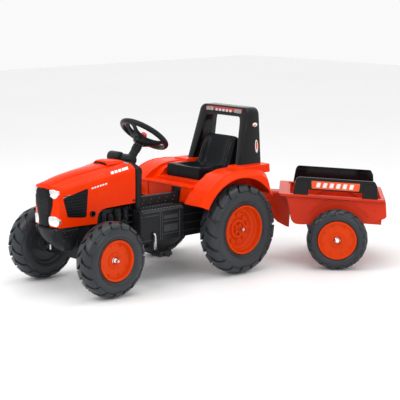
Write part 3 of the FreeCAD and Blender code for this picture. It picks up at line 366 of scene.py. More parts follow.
def tread_curve(size):
    """The carcass from its middle to the bead, as (across, out) points, a lug's height below the crown."""
    radius, half, bead = size["radius"], size["width"] / 2, size["bead"]
    tread, crown = radius - size["lug"], size["crown"]
    wall = radius - bead
    return [(0, tread), (half * 0.3, tread - crown * 0.08), (half * 0.55, tread - crown * 0.3),
            (half * 0.75, tread - crown * 0.75), (half * 0.89, tread - crown * 1.45),
            (half * 0.955, tread - crown * 2.1), (half * 0.975, bead + wall * 0.42),
            (half * 0.95, bead + wall * 0.25), (half * 0.88, bead + wall * 0.1), (half * 0.8, bead + 2.5),
            (half * 0.76, bead + 0.5)]


def on_curve(curve, share):
    """A point and its outward normal at a share of the way along a curve of (across, out) points."""
    lengths = [math.dist(a, b) for a, b in zip(curve, curve[1:])]
    target = max(0.0, share) * sum(lengths)
    for (a, b), length in zip(zip(curve, curve[1:]), lengths):
        if target <= length or b == curve[-1]:
            t = target / length
            across, out = a[0] + (b[0] - a[0]) * t, a[1] + (b[1] - a[1]) * t
            along = Vector((b[0] - a[0], b[1] - a[1])).normalized()
            return across, out, Vector((-along.y, along.x))
        target -= length


def lug(bm, size, curve, side, angle, reach, slant, wide):
    """One bar of the tread: it starts past the middle, slants back and wraps over the shoulder."""
    loops = []
    stations = 10
    for step in range(stations + 1):
        share = step / stations
        along = -0.03 + (reach + 0.03) * share
        across, out, normal = on_curve(curve, along)
        if along < 0:
            across = along * 100
        swing = slant * min(1.0, share * 1.25)
        hold = 1 - 0.25 * max(0, share - 0.6)
        half = wide * (0.36 + 0.2 * min(1, share * 1.4)) * hold
        rise = size["lug"] * (1.0 if share < 0.75 else 1.0 - 1.6 * (share - 0.75))
        loop = []
        for offset, height in ((-half - 1.6, -2.5), (half + 1.6, -2.5), (half, rise), (-half, rise)):
            x, r = min(across + normal.x * height, size["width"] / 2), out + normal.y * height
            theta = angle + (swing + offset) / size["radius"]
            loop.append((side * x, r * math.cos(theta), r * math.sin(theta)))
        loops.append(loop if side > 0 else loop[::-1])
    skin(bm, loops)


def tyre(name, kind, place, body, node):
    size = WHEELS[kind]
    curve = tread_curve(size)
    bm = bmesh.new()
    half, bead = size["width"] / 2, size["bead"]
    outline = [(-x, r) for x, r in curve[::-1]] + curve[1:]
    inner = [(half * 0.7, bead + 0.6), (-half * 0.7, bead + 0.6)]
    turned(bm, outline + inner, 108, close=True)
    turned(bm, [(half * 0.9, bead + 7), (half * 0.955, bead + 8.5), (half * 0.975, bead + 10.5),
                (half * 0.9, bead + 12.5)], 108, close=True)
    # the black back of the wheel, closed by a stepped disc
    turned(bm, [(-half * 0.8, bead + 4), (-half * 0.74, bead - 6), (-half * 0.52, bead - 11),
                (-half * 0.48, 34), (-half * 0.62, 30), (-half * 0.62, 9.5), (-half * 0.4, 9.5),
                (-half * 0.36, 32), (-half * 0.42, bead - 9), (-half * 0.6, bead)], 108, close=True)
    finish_mesh(name, bm, TYRE, body, (node,), smooth=40, place=place)
    bm = bmesh.new()
    step = math.tau / size["lugs"]
    pitch = step * size["radius"]
    for index in range(size["lugs"]):
        for side in (1, -1):
            shift_by = 0.5 * step if side < 0 else 0.0
            reach = size["reach"] + (0.06 if index % 2 else 0)
            lug(bm, size, curve, side, index * step + shift_by, reach, 0.62 * pitch, size["lug_wide"] * pitch)
    finish_mesh(f"{name}_lugs", bm, TYRE, body, round_by=1.3, place=place)


def bolt_ring(bm, count, out, radius, low, high, start=0.0):
    for index in range(count):
        angle = start + math.tau * index / count
        disc(bm, radius, low, high, (out * math.cos(angle), out * math.sin(angle)), 12,
             dome=(high - low) * 0.5)


def small_rim(name, kind, place, body, node):
    """The front and trailer rims: a lipped dish with bumps by the lip and a ribbed hub ring."""
    size = WHEELS[kind]
    half, bead = size["width"] / 2, size["bead"]
    face = half * 0.46 if kind == "front" else half * 0.62
    lip = half * 0.8
    bm = bmesh.new()
    turned(bm, [(face - 4, 13), (face + 1.5, 13), (face + 4.5, 14.5), (face + 5, 18), (face + 5, 25),
                (face + 4, 28.5), (face + 0.6, 29.5), (face, 32), (face - 0.5, 48), (face, 60),
                (face + 1, 62.5), (face + 3, 63.5), (lip - 2.5, 66), (lip, 67.2), (lip + 2.6, 69),
                (lip + 3.2, 72), (lip + 2.4, 75), (lip, bead - 0.3), (face, bead - 0.6),
                (-half * 0.75, bead - 0.6), (-half * 0.75, bead - 4), (face - 6, bead - 5), (face - 5, 32),
                (face - 22, 30), (face - 22, 13)], 96, close=True)
    bolt_ring(bm, 8, 56, 3.6, face - 1, face + 4.5, 0.3)
    bolt_ring(bm, 8, 20, 2.6, face + 4, face + 7.5, 0.0)
    for index in range(8):
        angle = math.tau * (index + 0.5) / 8
        bm_rib = bmesh.new()
        boxed(bm_rib, (face + 3.5, 16.5, -1.3), (face + 7.0, 27.5, 1.3))
        bm_rib.transform(Matrix.Rotation(angle, 4, "X"))
        join(bm, bm_rib)
    finish_mesh(name, bm, RIM_ORANGE, body, (node,), round_by=0.7, place=place)


def join(bm, other):
    """Adds another shape to this one and drops it."""
    mesh = bpy.data.meshes.new("joined")
    other.to_mesh(mesh)
    other.free()
    bm.from_mesh(mesh)
    bpy.data.meshes.remove(mesh)


def rear_rim(name, place, body, node):
    """The rear rim: a deep dish in steps, cups round it and a five-armed hub."""
    size = WHEELS["rear"]
    half, bead = size["width"] / 2, size["bead"]
    lip = half * 0.8
    bm = bmesh.new()
    turned(bm, [(-6, 9), (4, 9), (4, 15), (2, 17), (-1, 18.5), (-1, 24), (5, 27), (7, 31), (5, 36), (-2, 40),
                (-5, 45), (-5, 58), (-3, 62), (4, 66), (8, 70), (9, 74), (12, 77), (16, 78.5), (19, 82),
                (22, 84), (lip - 5, 86), (lip, 87.5), (lip + 2.8, 89), (lip + 3.4, 92), (lip + 2.4, 95),
                (lip, bead - 0.3), (6, bead - 0.6), (-half * 0.75, bead - 0.6), (-half * 0.75, bead - 4),
                (-8, bead - 6), (-10, 60), (-10, 40), (-10, 30), (-24, 28), (-24, 9)], 108, close=True)
    for index in range(10):
        angle = math.tau * (index + 0.5) / 10
        disc(bm, 6.2, -6, 1.5, (52 * math.cos(angle), 52 * math.sin(angle)), 16, dome=2.5)
    star = []
    for index in range(5):
        for out, turn_by in ((13.5, -0.26), (22, -0.16), (23.5, 0.0), (22, 0.16), (13.5, 0.26)):
            angle = math.tau * index / 5 + turn_by * (1.5 if out < 15 else 1)
            star.append((out * math.cos(angle), out * math.sin(angle)))
    prism(bm, star, -2, 8.5, "X")
    finish_mesh(name, bm, RIM_ORANGE, body, (node,), round_by=0.8, place=place)


def nut(name, place, body, nodes, low):
    bm = bmesh.new()
    turned(bm, [(low, 0.01), (low, 11.5), (low + 2, 12), (low + 3.2, 10.4), (low + 6, 9.6), (low + 9, 7.6),
                (low + 10.8, 4.2), (low + 11.3, 0.01)], 32)
    finish_mesh(name, bm, CHROME, body, nodes, smooth=50, place=place)


def axle_caps():
    """The caps on the rear axle: a small orange boss in the middle of each hub, with a dark dimple."""
    boss, dimple = bmesh.new(), bmesh.new()
    for side in (1, -1):
        for bm, profile in ((boss, [(8, 0.01), (8, 9.5), (11, 9.5), (13.5, 8), (14, 5), (14, 0.01)]),
                            (dimple, [(13, 0.01), (13, 4), (14.4, 4), (14.5, 0.01)])):
            moved(bm, lambda: turned(bm, profile, 24),
                  lambda co: (side * (REAR_WHEEL_X + co.x), co.y, REAR_RADIUS + co.z))
    finish_mesh("axle_caps", boss, RIM_ORANGE, "drive_axle", ("rear_axle_caps",), round_by=0.5)
    finish_mesh("axle_cap_dimples", dimple, BLACK, "drive_axle")


def wheels():
    """All six wheels with their nuts."""
    for side_name, side in SIDES:
        handed = Matrix.Identity(4) if side > 0 else MIRROR
        place = Matrix.Translation(spot(f"front_{side_name}_spin")) @ MM @ handed
        body = f"front_wheel_{side_name}"
        tyre(f"tyre_front_{side_name}", "front", place, body, f"front_tyre_{side_name}")
        small_rim(f"rim_front_{side_name}", "front", place, body, f"front_rim_{side_name}")
        nut(f"nut_front_{side_name}", place, f"{side_name}_knuckle", (f"front_cap_nut_{side_name}",), 21)
        body = "drive_axle" if side > 0 else "rear_wheel_right"
        middle = Vector((zero.x + side * REAR_WHEEL_X / 1000, zero.y, REAR_RADIUS / 1000))
        place = Matrix.Translation(middle) @ MM @ handed
        tyre(f"tyre_rear_{side_name}", "rear", place, body, f"rear_tyre_{side_name}")
        rear_rim(f"rim_rear_{side_name}", place, body, f"rear_rim_{side_name}")
        middle = spot(f"trailer_{side_name}_spin")
        place = Matrix.Translation(middle) @ turn(TRAILER_YAW, "Z") @ MM @ handed
        body = f"trailer_wheel_{side_name}"
        tyre(f"tyre_trailer_{side_name}", "trailer", place, body, f"trailer_tyre_{side_name}")
        small_rim(f"rim_trailer_{side_name}", "trailer", place, body, f"trailer_rim_{side_name}")
        nut(f"nut_trailer_{side_name}", place, "trailer", ("trailer_axle_caps",) if side > 0 else (), 27)


# ---- bonnet ----

HOOD_FRONT, HOOD_REAR = -738, -405
HOOD_NODES = ("hood_top", "hood_nose", "hood_flanks")


def both_ways(half_line, middle=()):
    """A line from the left to the middle, carried on as its mirror image."""
    return half_line + list(middle) + [(-x, z) for x, z in half_line[::-1]]


def along_table(table, at):
    """A value read from a table of (place, value), smoothly between its rows."""
    if at <= table[0][0]:
        return table[0][1]
    for (a, low), (b, high) in zip(table, table[1:]):
        if at <= b:
            t = (at - a) / (b - a)
            return low + (high - low) * t
    return table[-1][1]


CREST = [(-738, 402), (-728, 408), (-712, 414), (-690, 421), (-660, 428), (-600, 438), (-523, 447),
         (-460, 454), (-405, 459)]
HEM = [(-738, 247.5), (-572, 247.5), (-570, 252), (-569, 268), (-566, 281), (-558, 291), (-546, 298),
       (-530, 301.5), (-500, 303), (-405, 308)]


def hood_span(y):
    """How far back a station is from 0 to 1, and there the half width, the flank's edge and the shoulder."""
    t = (y - HOOD_FRONT) / (HOOD_REAR - HOOD_FRONT)
    return t, 72 + 37 * t, 380 + 56 * t, 394 + 57 * t


def hood_line(y):
    """The bonnet's outline at a station, from the left hem over the crest to the right hem."""
    t, half, edge, shoulder = hood_span(y)
    nose = min(1.0, (y - HOOD_FRONT) / 26)
    half -= 5 * (1 - nose) ** 2
    crest, hem = along_table(CREST, y), along_table(HEM, y)
    inner = half * 0.8
    panel = 30 + 14 * t
    side = [(half - 1.2, hem), (half + 0.6, hem + (edge - hem) * 0.3), (half + 1, hem + (edge - hem) * 0.6),
            (half + 0.4, edge - 4), (half - 0.8, edge), (half - 3, edge + 2.2), (inner + 3, shoulder - 1.6),
            (inner, shoulder), (inner - 3, shoulder + 0.9), (panel + 9, shoulder + (crest - shoulder) * 0.42),
            (panel + 3.5, shoulder + (crest - shoulder) * 0.5),
            (panel + 1.5, shoulder + (crest - shoulder) * 0.48),
            (panel - 1, shoulder + (crest - shoulder) * 0.72),
            (panel - 5, shoulder + (crest - shoulder) * 0.8), (panel * 0.45, crest - 0.7)]
    return [Vector((x, max(y, nose_front(x) + 5), z)) for x, z in both_ways(side, [(0, crest)])]


def hood():
    """The bonnet: a walled shell with a hole for each loader bush, and the frame round its grille."""
    stations = sorted({*range(-738, -572, 12), -733, -572, -570, -569, -566, -562, -558, -552, -546, -538,
                       -530, *range(-520, -405, 14), -405})
    bm = bmesh.new()
    skin(bm, [hood_line(y) for y in stations], closed=False, caps=False)
    shell = finish_mesh("bonnet", bm, ORANGE, "hood", HOOD_NODES, smooth=28)
    wall = shell.modifiers.new("wall", "SOLIDIFY")
    wall.thickness = 0.003
    wall.offset = -1
    carve(shell, hood_holes())
    bevel = shell.modifiers.new("rounding", "BEVEL")
    bevel.width, bevel.segments, bevel.angle_limit = 0.0009, 2, math.radians(40)
    # the frame round the grille
    bm = bmesh.new()
    outer = both_ways([(71, 249), (72, 290), (72, 330), (71, 380), (56, 394)], [(0, 402)])
    inner = both_ways([(33, 250), (36, 290), (50, 330), (52, 378), (30, 386)], [(0, 388)])
    loops = []
    for ring, back in ((outer, 9), (outer, 2.5), (inner, 0), (inner, 9)):
        loops.append([(x, nose_front(x) + back, z) for x, z in ring])
    loops.append(loops[0])
    skin(bm, loops, closed=False, caps=False)
    finish_mesh("bonnet_nose", bm, ORANGE, "hood", round_by=1.2)
    scoop()
    hood_trim()


def carve(piece, cutter_mesh, place=TRACTOR):
    """Cuts a bmesh in millimetres out of a piece."""
    mesh = bpy.data.meshes.new("cutter")
    bmesh.ops.recalc_face_normals(cutter_mesh, faces=cutter_mesh.faces)
    cutter_mesh.transform(place)
    cutter_mesh.to_mesh(mesh)
    cutter_mesh.free()
    cutter = bpy.data.objects.new("cutter", mesh)
    bpy.context.scene.collection.objects.link(cutter)
    hole = piece.modifiers.new("holes", "BOOLEAN")
    hole.object = cutter
    hole.operation = "DIFFERENCE"
    hole.solver = "EXACT"
    graph = bpy.context.evaluated_depsgraph_get()
    solid = bpy.data.meshes.new_from_object(piece.evaluated_get(graph))
    piece.modifiers.clear()
    piece.data = solid
    bpy.data.objects.remove(cutter)
    solid.shade_smooth()
    solid.set_sharp_from_angle(angle=math.radians(28))


def hood_holes():
    """A hole through each flank over the loader bush."""
    bm = bmesh.new()
    for side in (1, -1):
        side_disc(bm, side, 11, 60, 130, (-591, 287), 24)
    return bm


def on_flank(y, z, out=0.0):
    """A point on the bonnet's left flank."""
    half, edge = hood_span(y)[1:3]
    hem = along_table(HEM, y)
    share = (z - hem) / (edge - hem)
    swell = along_table([(0, -1.2), (0.3, 0.6), (0.6, 1.0), (0.95, 0.4), (1, -0.8)], share)
    return Vector((half + swell + out, y, z))


def flank_plate(bm, outline, out, depth, side):
    """A thin plate that follows the bonnet's flank."""
    loops = []
    for lift in (out - depth, out):
        loop = [on_flank(y, z, lift) for y, z in outline]
        loops.append([(side * p.x, p.y, p.z) for p in loop])
    skin(bm, loops)


def strip_points(start, end, wide, parts=10):
    """A straight strip between two (y, z) points as an outline."""
    a, b = Vector(start), Vector(end)
    across = Vector((-(b - a).y, (b - a).x)).normalized() * wide / 2
    upper = [a + (b - a) * k / parts + across for k in range(parts + 1)]
    lower = [a + (b - a) * k / parts - across for k in range(parts, -1, -1)]
    return [tuple(p) for p in upper + lower]


def hood_trim():
    """The side grilles, lines, marks and screws, the same on both flanks."""
    for side_name, side in SIDES:
        def flank(name, material, out, depth, outlines, round_by=0.0, replaces=()):
            bm = bmesh.new()
            for outline in outlines:
                flank_plate(bm, outline, out, depth, side)
            finish_mesh(f"{name}_{side_name}", bm, material, "hood", replaces, round_by=round_by)

        inset = rounded([(-713, 355), (-694, 284), (-617, 276), (-608, 383)], 9, 4)
        flank("side_grille", SEAT, 0.7, 1.5, [inset], 0.4, ("side_grilles",) if side > 0 else ())
        bars = [strip_points((-698 - k * 1.6, 288 + k * 10.5), (-619, 289 + k * 10.9), 2.2) for k in range(8)]
        flank("side_grille_bars", BLACK, 1.5, 1.2, bars, 0.4)
        flank("side_line", SILVER, 1.3, 0.8, [strip_points((-711, 357.5), (-684, 365.4), 1.6)])
        flank("flank_ridge", ORANGE, 0.9, 1.6, [strip_points((-606, 389), (-437, 414), 1.8, 16)], 0.5)
        corners = [(-594 + k * 11.5, 377.5 + k * 2.05) for k in range(6)]
        flank("flank_marks", WHITE, 0.55, 0.5,
              [[(y, z), (y + 7.5, z + 1.2), (y + 9, z + 7.5), (y + 1.5, z + 6.3)] for y, z in corners])
        chamfer_marks(side_name, side)
        bm = bmesh.new()
        side_disc(bm, side, 4, 108.5, 112.6, (-413, 318), 16, dome=1.5)
        finish_mesh(f"bonnet_screw_{side_name}", bm, BLACK, "hood")


def chamfer_point(y, share, out, side):
    """A point on the slanted strip between the bonnet's flank and its top."""
    half, edge, shoulder = hood_span(y)[1:]
    a, b = Vector((half - 3, edge + 2.2)), Vector((half * 0.8 + 3, shoulder - 1.6))
    p = a + (b - a) * share
    normal = Vector(((b - a).y, -(b - a).x)).normalized()
    p += normal * out
    return (side * p.x, y, p.y)


def chamfer_marks(side_name, side):
    bm = bmesh.new()
    for start, end in ((-505, -493), (-489, -477), (-473, -461), (-457, -431)):
        loops = []
        for out in (-0.4, 0.5):
            loops.append([chamfer_point(start, 0.16, out, side), chamfer_point(end, 0.16, out, side),
                          chamfer_point(end + 4, 0.84, out, side), chamfer_point(start + 4, 0.84, out, side)])
        skin(bm, loops)
    finish_mesh(f"shoulder_marks_{side_name}", bm, WHITE, "hood")


def scoop():
    """The air scoop: a ramp let into the crest and a roof over a dark mouth, filled with a black block that
    is painted shade for the inside of the opening.
    """
    bm = bmesh.new()
    loops = []
    for y, wide, rise in ((-484, 40, 8.2), (-478, 44, 10.5), (-460, 47, 10), (-435, 49, 7), (-412, 50, 3),
                          (-405, 50, 1)):
        crest = along_table(CREST, y)
        top = [(wide * math.cos(math.pi * k / 16),
                rise * min(1, 1.5 * math.sin(math.pi * k / 16))) for k in range(17)]
        loops.append([(x, y, crest - 5.5 + h + 4 * (1 - (x / 50) ** 2)) for x, h in top])
    skin(bm, loops, closed=False, caps=False)
    roof = finish_mesh("scoop_roof", bm, ORANGE, "hood", smooth=50)
    wall = roof.modifiers.new("wall", "SOLIDIFY")
    wall.thickness = 0.0025
    wall.offset = 0
    # painted shade: a black block fills the mouth in place of the shade inside the opening
    bm = bmesh.new()
    mouth = [(38 * math.cos(math.pi * k / 12), 7.5 * math.sin(math.pi * k / 12)) for k in range(13)]
    crest = along_table(CREST, -480)
    skin(bm, [[(x, y, crest - 3.5 + h) for x, h in mouth] for y in (-486.5, -470)])
    finish_mesh("scoop_mouth", bm, BLACK, "hood", round_by=0.5)


NOSE_SLANT = 12


def lamp_block(bm, outline, bulge):
    """A lamp glass: an outline on the nose, swollen forwards."""
    cx = sum(p[0] for p in outline) / len(outline)
    cz = sum(p[1] for p in outline) / len(outline)
    loops = []
    for shrink, out in ((1.0, -9), (1.0, 0.3), (0.93, bulge * 0.55), (0.7, bulge * 0.9), (0.3, bulge)):
        loop = []
        for x, z in outline:
            across = cx + (x - cx) * shrink
            loop.append((across, nose_front(across) - out, cz + (z - cz) * shrink))
        loops.append(loop)
    skin(bm, loops)


def nose_front(x):
    """How far forward the bonnet's nose stands: flat in the middle, slanting back at its corners."""
    return -742.5 + NOSE_SLANT * max(0, abs(x) - 48) / 24


def nose():
    """The grille panel with its bars, and the four lamps."""
    bm = bmesh.new()
    loops = []
    for z, half, bow in ((252, 33, 1.5), (262, 35, 3), (292, 38, 5), (330, 50, 6), (368, 51.5, 5),
                         (380, 50, 3.5), (387, 38, 1.5)):
        front = [(-half, -743), (-half * 0.75, -744.5 - bow * 0.45), (-half * 0.4, -745.5 - bow * 0.8),
                 (0, -746 - bow), (half * 0.4, -745.5 - bow * 0.8), (half * 0.75, -744.5 - bow * 0.45),
                 (half, -743)]
        back = [(half, -735), (-half, -735)]
        loops.append([(x, max(y, -746.9), z) for x, y in front + back])
    skin(bm, loops)
    finish_mesh("grille_panel", bm, SEAT, "hood", ("grille",), round_by=1.0, smooth=40)
    bm = bmesh.new()
    for level in range(9):
        z = 298 + level * 6.2
        boxed(bm, (-32, -747.6, z), (32, -743, z + 2.4))
    finish_mesh("grille_bars", bm, BLACK, "hood", round_by=0.6)
    bm = bmesh.new()
    for side in (1, -1):
        upper = rounded([(15, 358), (24, 353), (62, 355), (72, 368), (72, 382), (56, 388), (24, 386),
                         (12, 374)], 5, 3)
        lower = rounded([(25, 291), (24, 272), (33, 256), (64, 252), (73, 262), (73, 280), (64, 289)], 5, 3)
        for outline in (upper, lower):
            lamp_block(bm, [(side * x, z) for x, z in outline], 3.2)
    finish_mesh("lamps", bm, LAMP, "hood", ("headlamps",), smooth=25)
    bm = bmesh.new()
    for side in (1, -1):
        for x, z, radius in ((32, 371, 8), (51, 371, 8), (48, 271, 11)):
            def on_nose(co):
                across = side * x + co.z
                return across, nose_front(across) - 2.6 - co.x * 0.55, z + co.y
            moved(bm, lambda: disc(bm, radius, -0.5, 2.0, (0, 0), 20, dome=1.6), on_nose)
    finish_mesh("lamp_bulls_eyes", bm, CHROME, "hood", smooth=40)


# ---- front bumper and engine block ----

def bumper():
    """The bowed front, its ribs and the rivets on its sides."""
    bm = bmesh.new()
    loops = []
    levels = [(241, 68, -747, 0.62), (236, 68, -747.5, 0.62), (222, 66, -745, 0.58), (206, 62, -740, 0.54),
              (188, 54, -727, 0.5), (172, 44, -708, 0.46), (158, 36, -690, 0.42), (148, 30, -676, 0.4)]
    for z, half, front, flat in levels:
        bow = [(half, -640), (half, -700 + (241 - z) * 0.42), (half * 0.93, -716 + (241 - z) * 0.42),
               (half * flat, front + 6), (half * 0.3, front + 1)]
        loops.append([(x, y, z) for x, y in both_ways(bow, [(0, front)])])
    skin(bm, loops)
    finish_mesh("bumper_bow", bm, BLACK, "chassis", ("front_bumper",), round_by=2.0, smooth=45)
    bm = bmesh.new()
    for step in range(9):
        x = -48 + step * 12
        boxed(bm, (x - 1.6, -747.8 + abs(x) * 0.12, 226), (x + 1.6, -738, 243))
    boxed(bm, (-66, -735, 238), (66, -640, 244))
    # painted highlight: the bumper's ribs get the lighter rib black
    finish_mesh("bumper_ribs", bm, RIB_PAINTED_HIGHLIGHT, "chassis", round_by=0.8)
    bm = bmesh.new()
    for side in (1, -1):
        for y, z in ((-700, 227), (-682, 231), (-664, 227), (-690, 212), (-672, 212), (-700, 198)):
            out = 68 - (241 - z) * 0.17
            side_disc(bm, side, 3, out - 1, out + 2.2, (y, z), 14, dome=1.6)
        side_box(bm, side, (66, -712, 233), (69.5, -642, 237))
    # painted highlight: the rivets and side strips get the lighter rib black
    finish_mesh("bumper_rivets", bm, RIB_PAINTED_HIGHLIGHT, "chassis", smooth=50)


def engine():
    """The engine block and the canisters, pipes and caps that stand out from its sides."""
    bm = bmesh.new()
    for side in (1, -1):
        outline = rounded([(side * 20, -566), (side * 84, -566), (side * 84, -412), (side * 20, -412)], 8, 3)
        if side < 0:
            outline = outline[::-1]
        prism(bm, outline, 170, 294, "Z")
    prism(bm, rounded([(-60, -640), (60, -640), (60, -564), (-60, -564)], 6, 3), 166, 262, "Z")
    boxed(bm, (-30, -560, 180), (30, -412, 290))
    finish_mesh("engine_core", bm, BLACK, "chassis", ("engine_block",), round_by=1.5)
    bm = bmesh.new()
    canisters = ((-541, 10, 232, 286), (-512, 13, 214, 278), (-478, 16, 218, 293), (-442, 13, 194, 293))
    for side in (1, -1):
        for y, radius, base, top in canisters:
            height = top - base
            profile = [(0, 0.01), (0, radius * 0.7), (3, radius), (height * 0.2, radius),
                       (height * 0.22, radius + 1.4), (height * 0.28, radius + 1.4), (height * 0.3, radius),
                       (height * 0.62, radius), (height * 0.64, radius + 1.2), (height * 0.7, radius + 1.2),
                       (height * 0.72, radius), (height - 8, radius), (height - 6, radius * 0.8),
                       (height - 2, radius * 0.74), (height, radius * 0.5), (height, 0.01)]
            moved(bm, lambda: turned(bm, profile, 28),
                  lambda co: (side * (90 + co.y * side), y + co.z, base + co.x))
        for y, z, long in ((-425, 236, 26), (-425, 262, 20), (-497, 222, 16), (-458, 246, 14)):
            side_box(bm, side, (84, y - long / 2, z - 3.5), (103, y + long / 2, z + 3.5))
        for z in (190, 202, 214):
            side_box(bm, side, (82, -560, z), (87, -470, z + 4))
    finish_mesh("engine_canisters", bm, BLACK, "chassis", round_by=0.8, smooth=45)
    bm = bmesh.new()
    for side in (1, -1):
        for y, z, radius in ((-442, 292, 5), (-442, 252, 5.5), (-442, 206, 5.5), (-478, 287, 6),
                             (-512, 262, 4)):
            moved(bm, lambda: disc(bm, radius, 0, 5, (0, 0), 16, dome=3),
                  lambda co: (side * (102 + co.x), y + co.y, z + co.z))
        path = smooth_path([(side * 100, -425, 200), (side * 108, -432, 186), (side * 105, -450, 178),
                            (side * 96, -470, 184), (side * 88, -490, 196)], 5)
        sweep(bm, path, circle(4, 10))
        path = smooth_path([(side * 90, -545, 240), (side * 98, -560, 222), (side * 90, -570, 200),
                            (side * 70, -575, 186)], 5)
        sweep(bm, path, circle(4.5, 10))
    finish_mesh("engine_fittings", bm, BLACK, "chassis", smooth=50)


# ---- dash, column and steering wheel ----

def dash():
    """The cowl behind the bonnet, its two round housings and the boss that holds the column."""
    bm = bmesh.new()
    loops = []
    for x, top, rear, sink in ((-112, 437, -372, 4), (-109, 440, -370, 1), (-104, 443, -368, 0),
                               (-60, 455, -359, 0), (60, 455, -359, 0), (104, 443, -368, 0),
                               (109, 440, -370, 1), (112, 437, -372, 4)):
        outline = rounded([(-402, 284), (-402, top - 18), (-393, top - 3), (-382, top), (rear, top - 12),
                           (rear - 3, 404), (rear - 5, 300), (rear - 5, 284)], 6, 3)
        loops.append([(x, y + (sink if y < -385 else -sink), z) for y, z in outline])
    skin(bm, loops)
    finish_mesh("cowl", bm, BLACK, "chassis", ("dash_cowl",), smooth=40)
    bm = bmesh.new()
    for low, high, y, z, radius in ((-88, -20, -366, 459.5, 22), (-26, 42, -356, 455, 20)):
        profile = [(low, 0.01), (low, radius * 0.55), (low + 2, radius * 0.8), (low + 6, radius * 0.96),
                   (low + 10, radius), (high - 10, radius), (high - 6, radius * 0.96),
                   (high - 2, radius * 0.8), (high, radius * 0.55), (high, 0.01)]
        turned(bm, profile, 48, middle=(y, z))
    disc(bm, 8, 40, 44.5, (-356, 455), 24, dome=1.5)
    disc(bm, 3, 43, 45.6, (-356, 455), 16)
    finish_mesh("cowl_housings", bm, BLACK, "chassis", smooth=50)
    bm = bmesh.new()
    for side in (1, -1):
        side_box(bm, side, (111, -399, 300), (113.2, -389, 428))
    for level in range(5):
        boxed(bm, (-70, -366.5, 340 + level * 14), (70, -361 + level * 1.5, 344 + level * 14))
    finish_mesh("cowl_ribs", bm, BLACK, "chassis", round_by=1.0)
    bm = bmesh.new()
    turned(bm, [(-160, 24), (-128, 21), (-112, 18), (-96, 16.5), (-82, 16), (-75, 16.5), (-73, 15.5),
                (-73, 6.4), (-160, 6.4)], 40, close=True)
    stand(bm)
    finish_mesh("column_boss", bm, BLACK, "chassis", smooth=40, place=STEERING)
    bm = bmesh.new()
    profile = [(-74, 6.2), (-74, 17.6)]
    for step in range(3):
        base = -72 + step * 7.5
        profile += [(base, 18.2), (base + 3.8, 18.0), (base + 4.6, 15.2), (base + 6.8, 15.2)]
    profile += [(-48, 15.6), (-43, 14.6), (-42, 12.5), (-40.5, 12.2), (-40.5, 6.2)]
    turned(bm, profile, 40, close=True)
    stand(bm)
    finish_mesh("column_sleeve_ribbed", bm, BLACK, "chassis", ("column_sleeve",), smooth=35, place=STEERING)


def steering_wheel():
    """The ring, two spokes, a broad one with a hole, the hub and the horn."""
    bm = bmesh.new()
    steps, ring = 96, []
    for index in range(steps):
        angle = math.tau * index / steps
        out = Vector((math.cos(angle), math.sin(angle), 0))
        section = []
        for k in range(16):
            phi = math.tau * k / 16
            thick = 10.8 - 0.9 * max(0, math.cos(phi + math.pi)) * 0.5
            grip = 0.5 * math.cos(3 * angle) if abs(math.cos(phi)) > 0.5 else 0
            rise = Vector((0, 0, thick * 0.98 * math.sin(phi)))
            section.append(out * (RING + (thick + grip) * math.cos(phi)) + rise)
        ring.append(section)
    ring.append(ring[0])
    skin(bm, ring, caps=False)
    for angle, wide in ((30, 11), (150, 11)):
        spoke = bmesh.new()
        loops = []
        for out, half, low, high in ((16, 24, -42, -13), (30, 20, -38, -12), (48, wide + 4, -31, -10),
                                     (66, wide + 2, -21, -6), (76, wide + 1, -10, -1),
                                     (RING - 4, wide + 4, -5, 4)):
            loops.append([(out, -half, low + 2), (out, -half * 0.6, low), (out, half * 0.6, low),
                          (out, half, low + 2), (out, half, high - 3), (out, half * 0.55, high),
                          (out, -half * 0.55, high), (out, -half, high - 3)])
        skin(spoke, loops)
        spoke.transform(turn(angle, "Z"))
        join(bm, spoke)
    broad = bmesh.new()
    for side in (1, -1):
        loops = []
        for out, inner, outer, low, high in ((14, 0, 24, -34, -13), (34, 0, 25, -31, -13),
                                             (46, 1, 24.5, -28, -12), (52, 8, 24.5, -26, -11),
                                             (60, 11.5, 25, -21, -8), (70, 11.5, 26.5, -16, -5),
                                             (76, 8, 28.5, -11, -2), (80, 1, 30, -8, 0),
                                             (RING - 4, 0, 32, -5, 4)):
            a, b = (inner, outer) if side > 0 else (-outer, -inner)
            loops.append([(out, a, low), (out, b, low + 1.5), (out, b, high - 1.5), (out, a, high)])
        skin(broad, loops)
    broad.transform(turn(270, "Z"))
    join(bm, broad)
    hub = bmesh.new()
    turned(hub, [(-45, 8), (-45, 22), (-41, 27), (-26, 30), (-17, 29), (-14, 23), (-14, 15), (-14.5, 13.5),
                 (-24, 13.5), (-24, 8)], 48, close=True)
    stand(hub)
    join(bm, hub)
    finish_mesh("wheel_ring_and_spokes", bm, BLACK, "steering", ("steering_wheel",), round_by=1.2, smooth=45,
                place=STEERING)
    bm = bmesh.new()
    turned(bm, [(-19, 0.01), (-19, 11.8), (-11, 11.8), (-9, 13.2), (-3, 13), (2, 11.2), (5.5, 7.5), (7, 3),
                (7.3, 0.01)], 40)
    stand(bm)
    finish_mesh("horn_cap", bm, HORN_RED, "horn", ("horn_button",), smooth=50, place=STEERING)


# ---- floor moulding, pedals ----

# the raised lines of the footrest's side: from y to y, from z to z, and how far they stand out
FLOOR_RIBS = [(-317, -312, 158, 272, 2.2), (-306, -302, 158, 272, 1.4), (-220, -215, 158, 262, 2.2),
              (-302, -218, 226, 230, 2.2), (-302, -218, 178, 182, 2.2), (-410, -318, 254, 258, 1.2),
              (-296, -226, 187, 214, 1.6), (-296, -226, 236, 250, 1.6), (-400, -198, 268, 274, 1.8),
              (-406, -326, 162, 166, 1.2)]


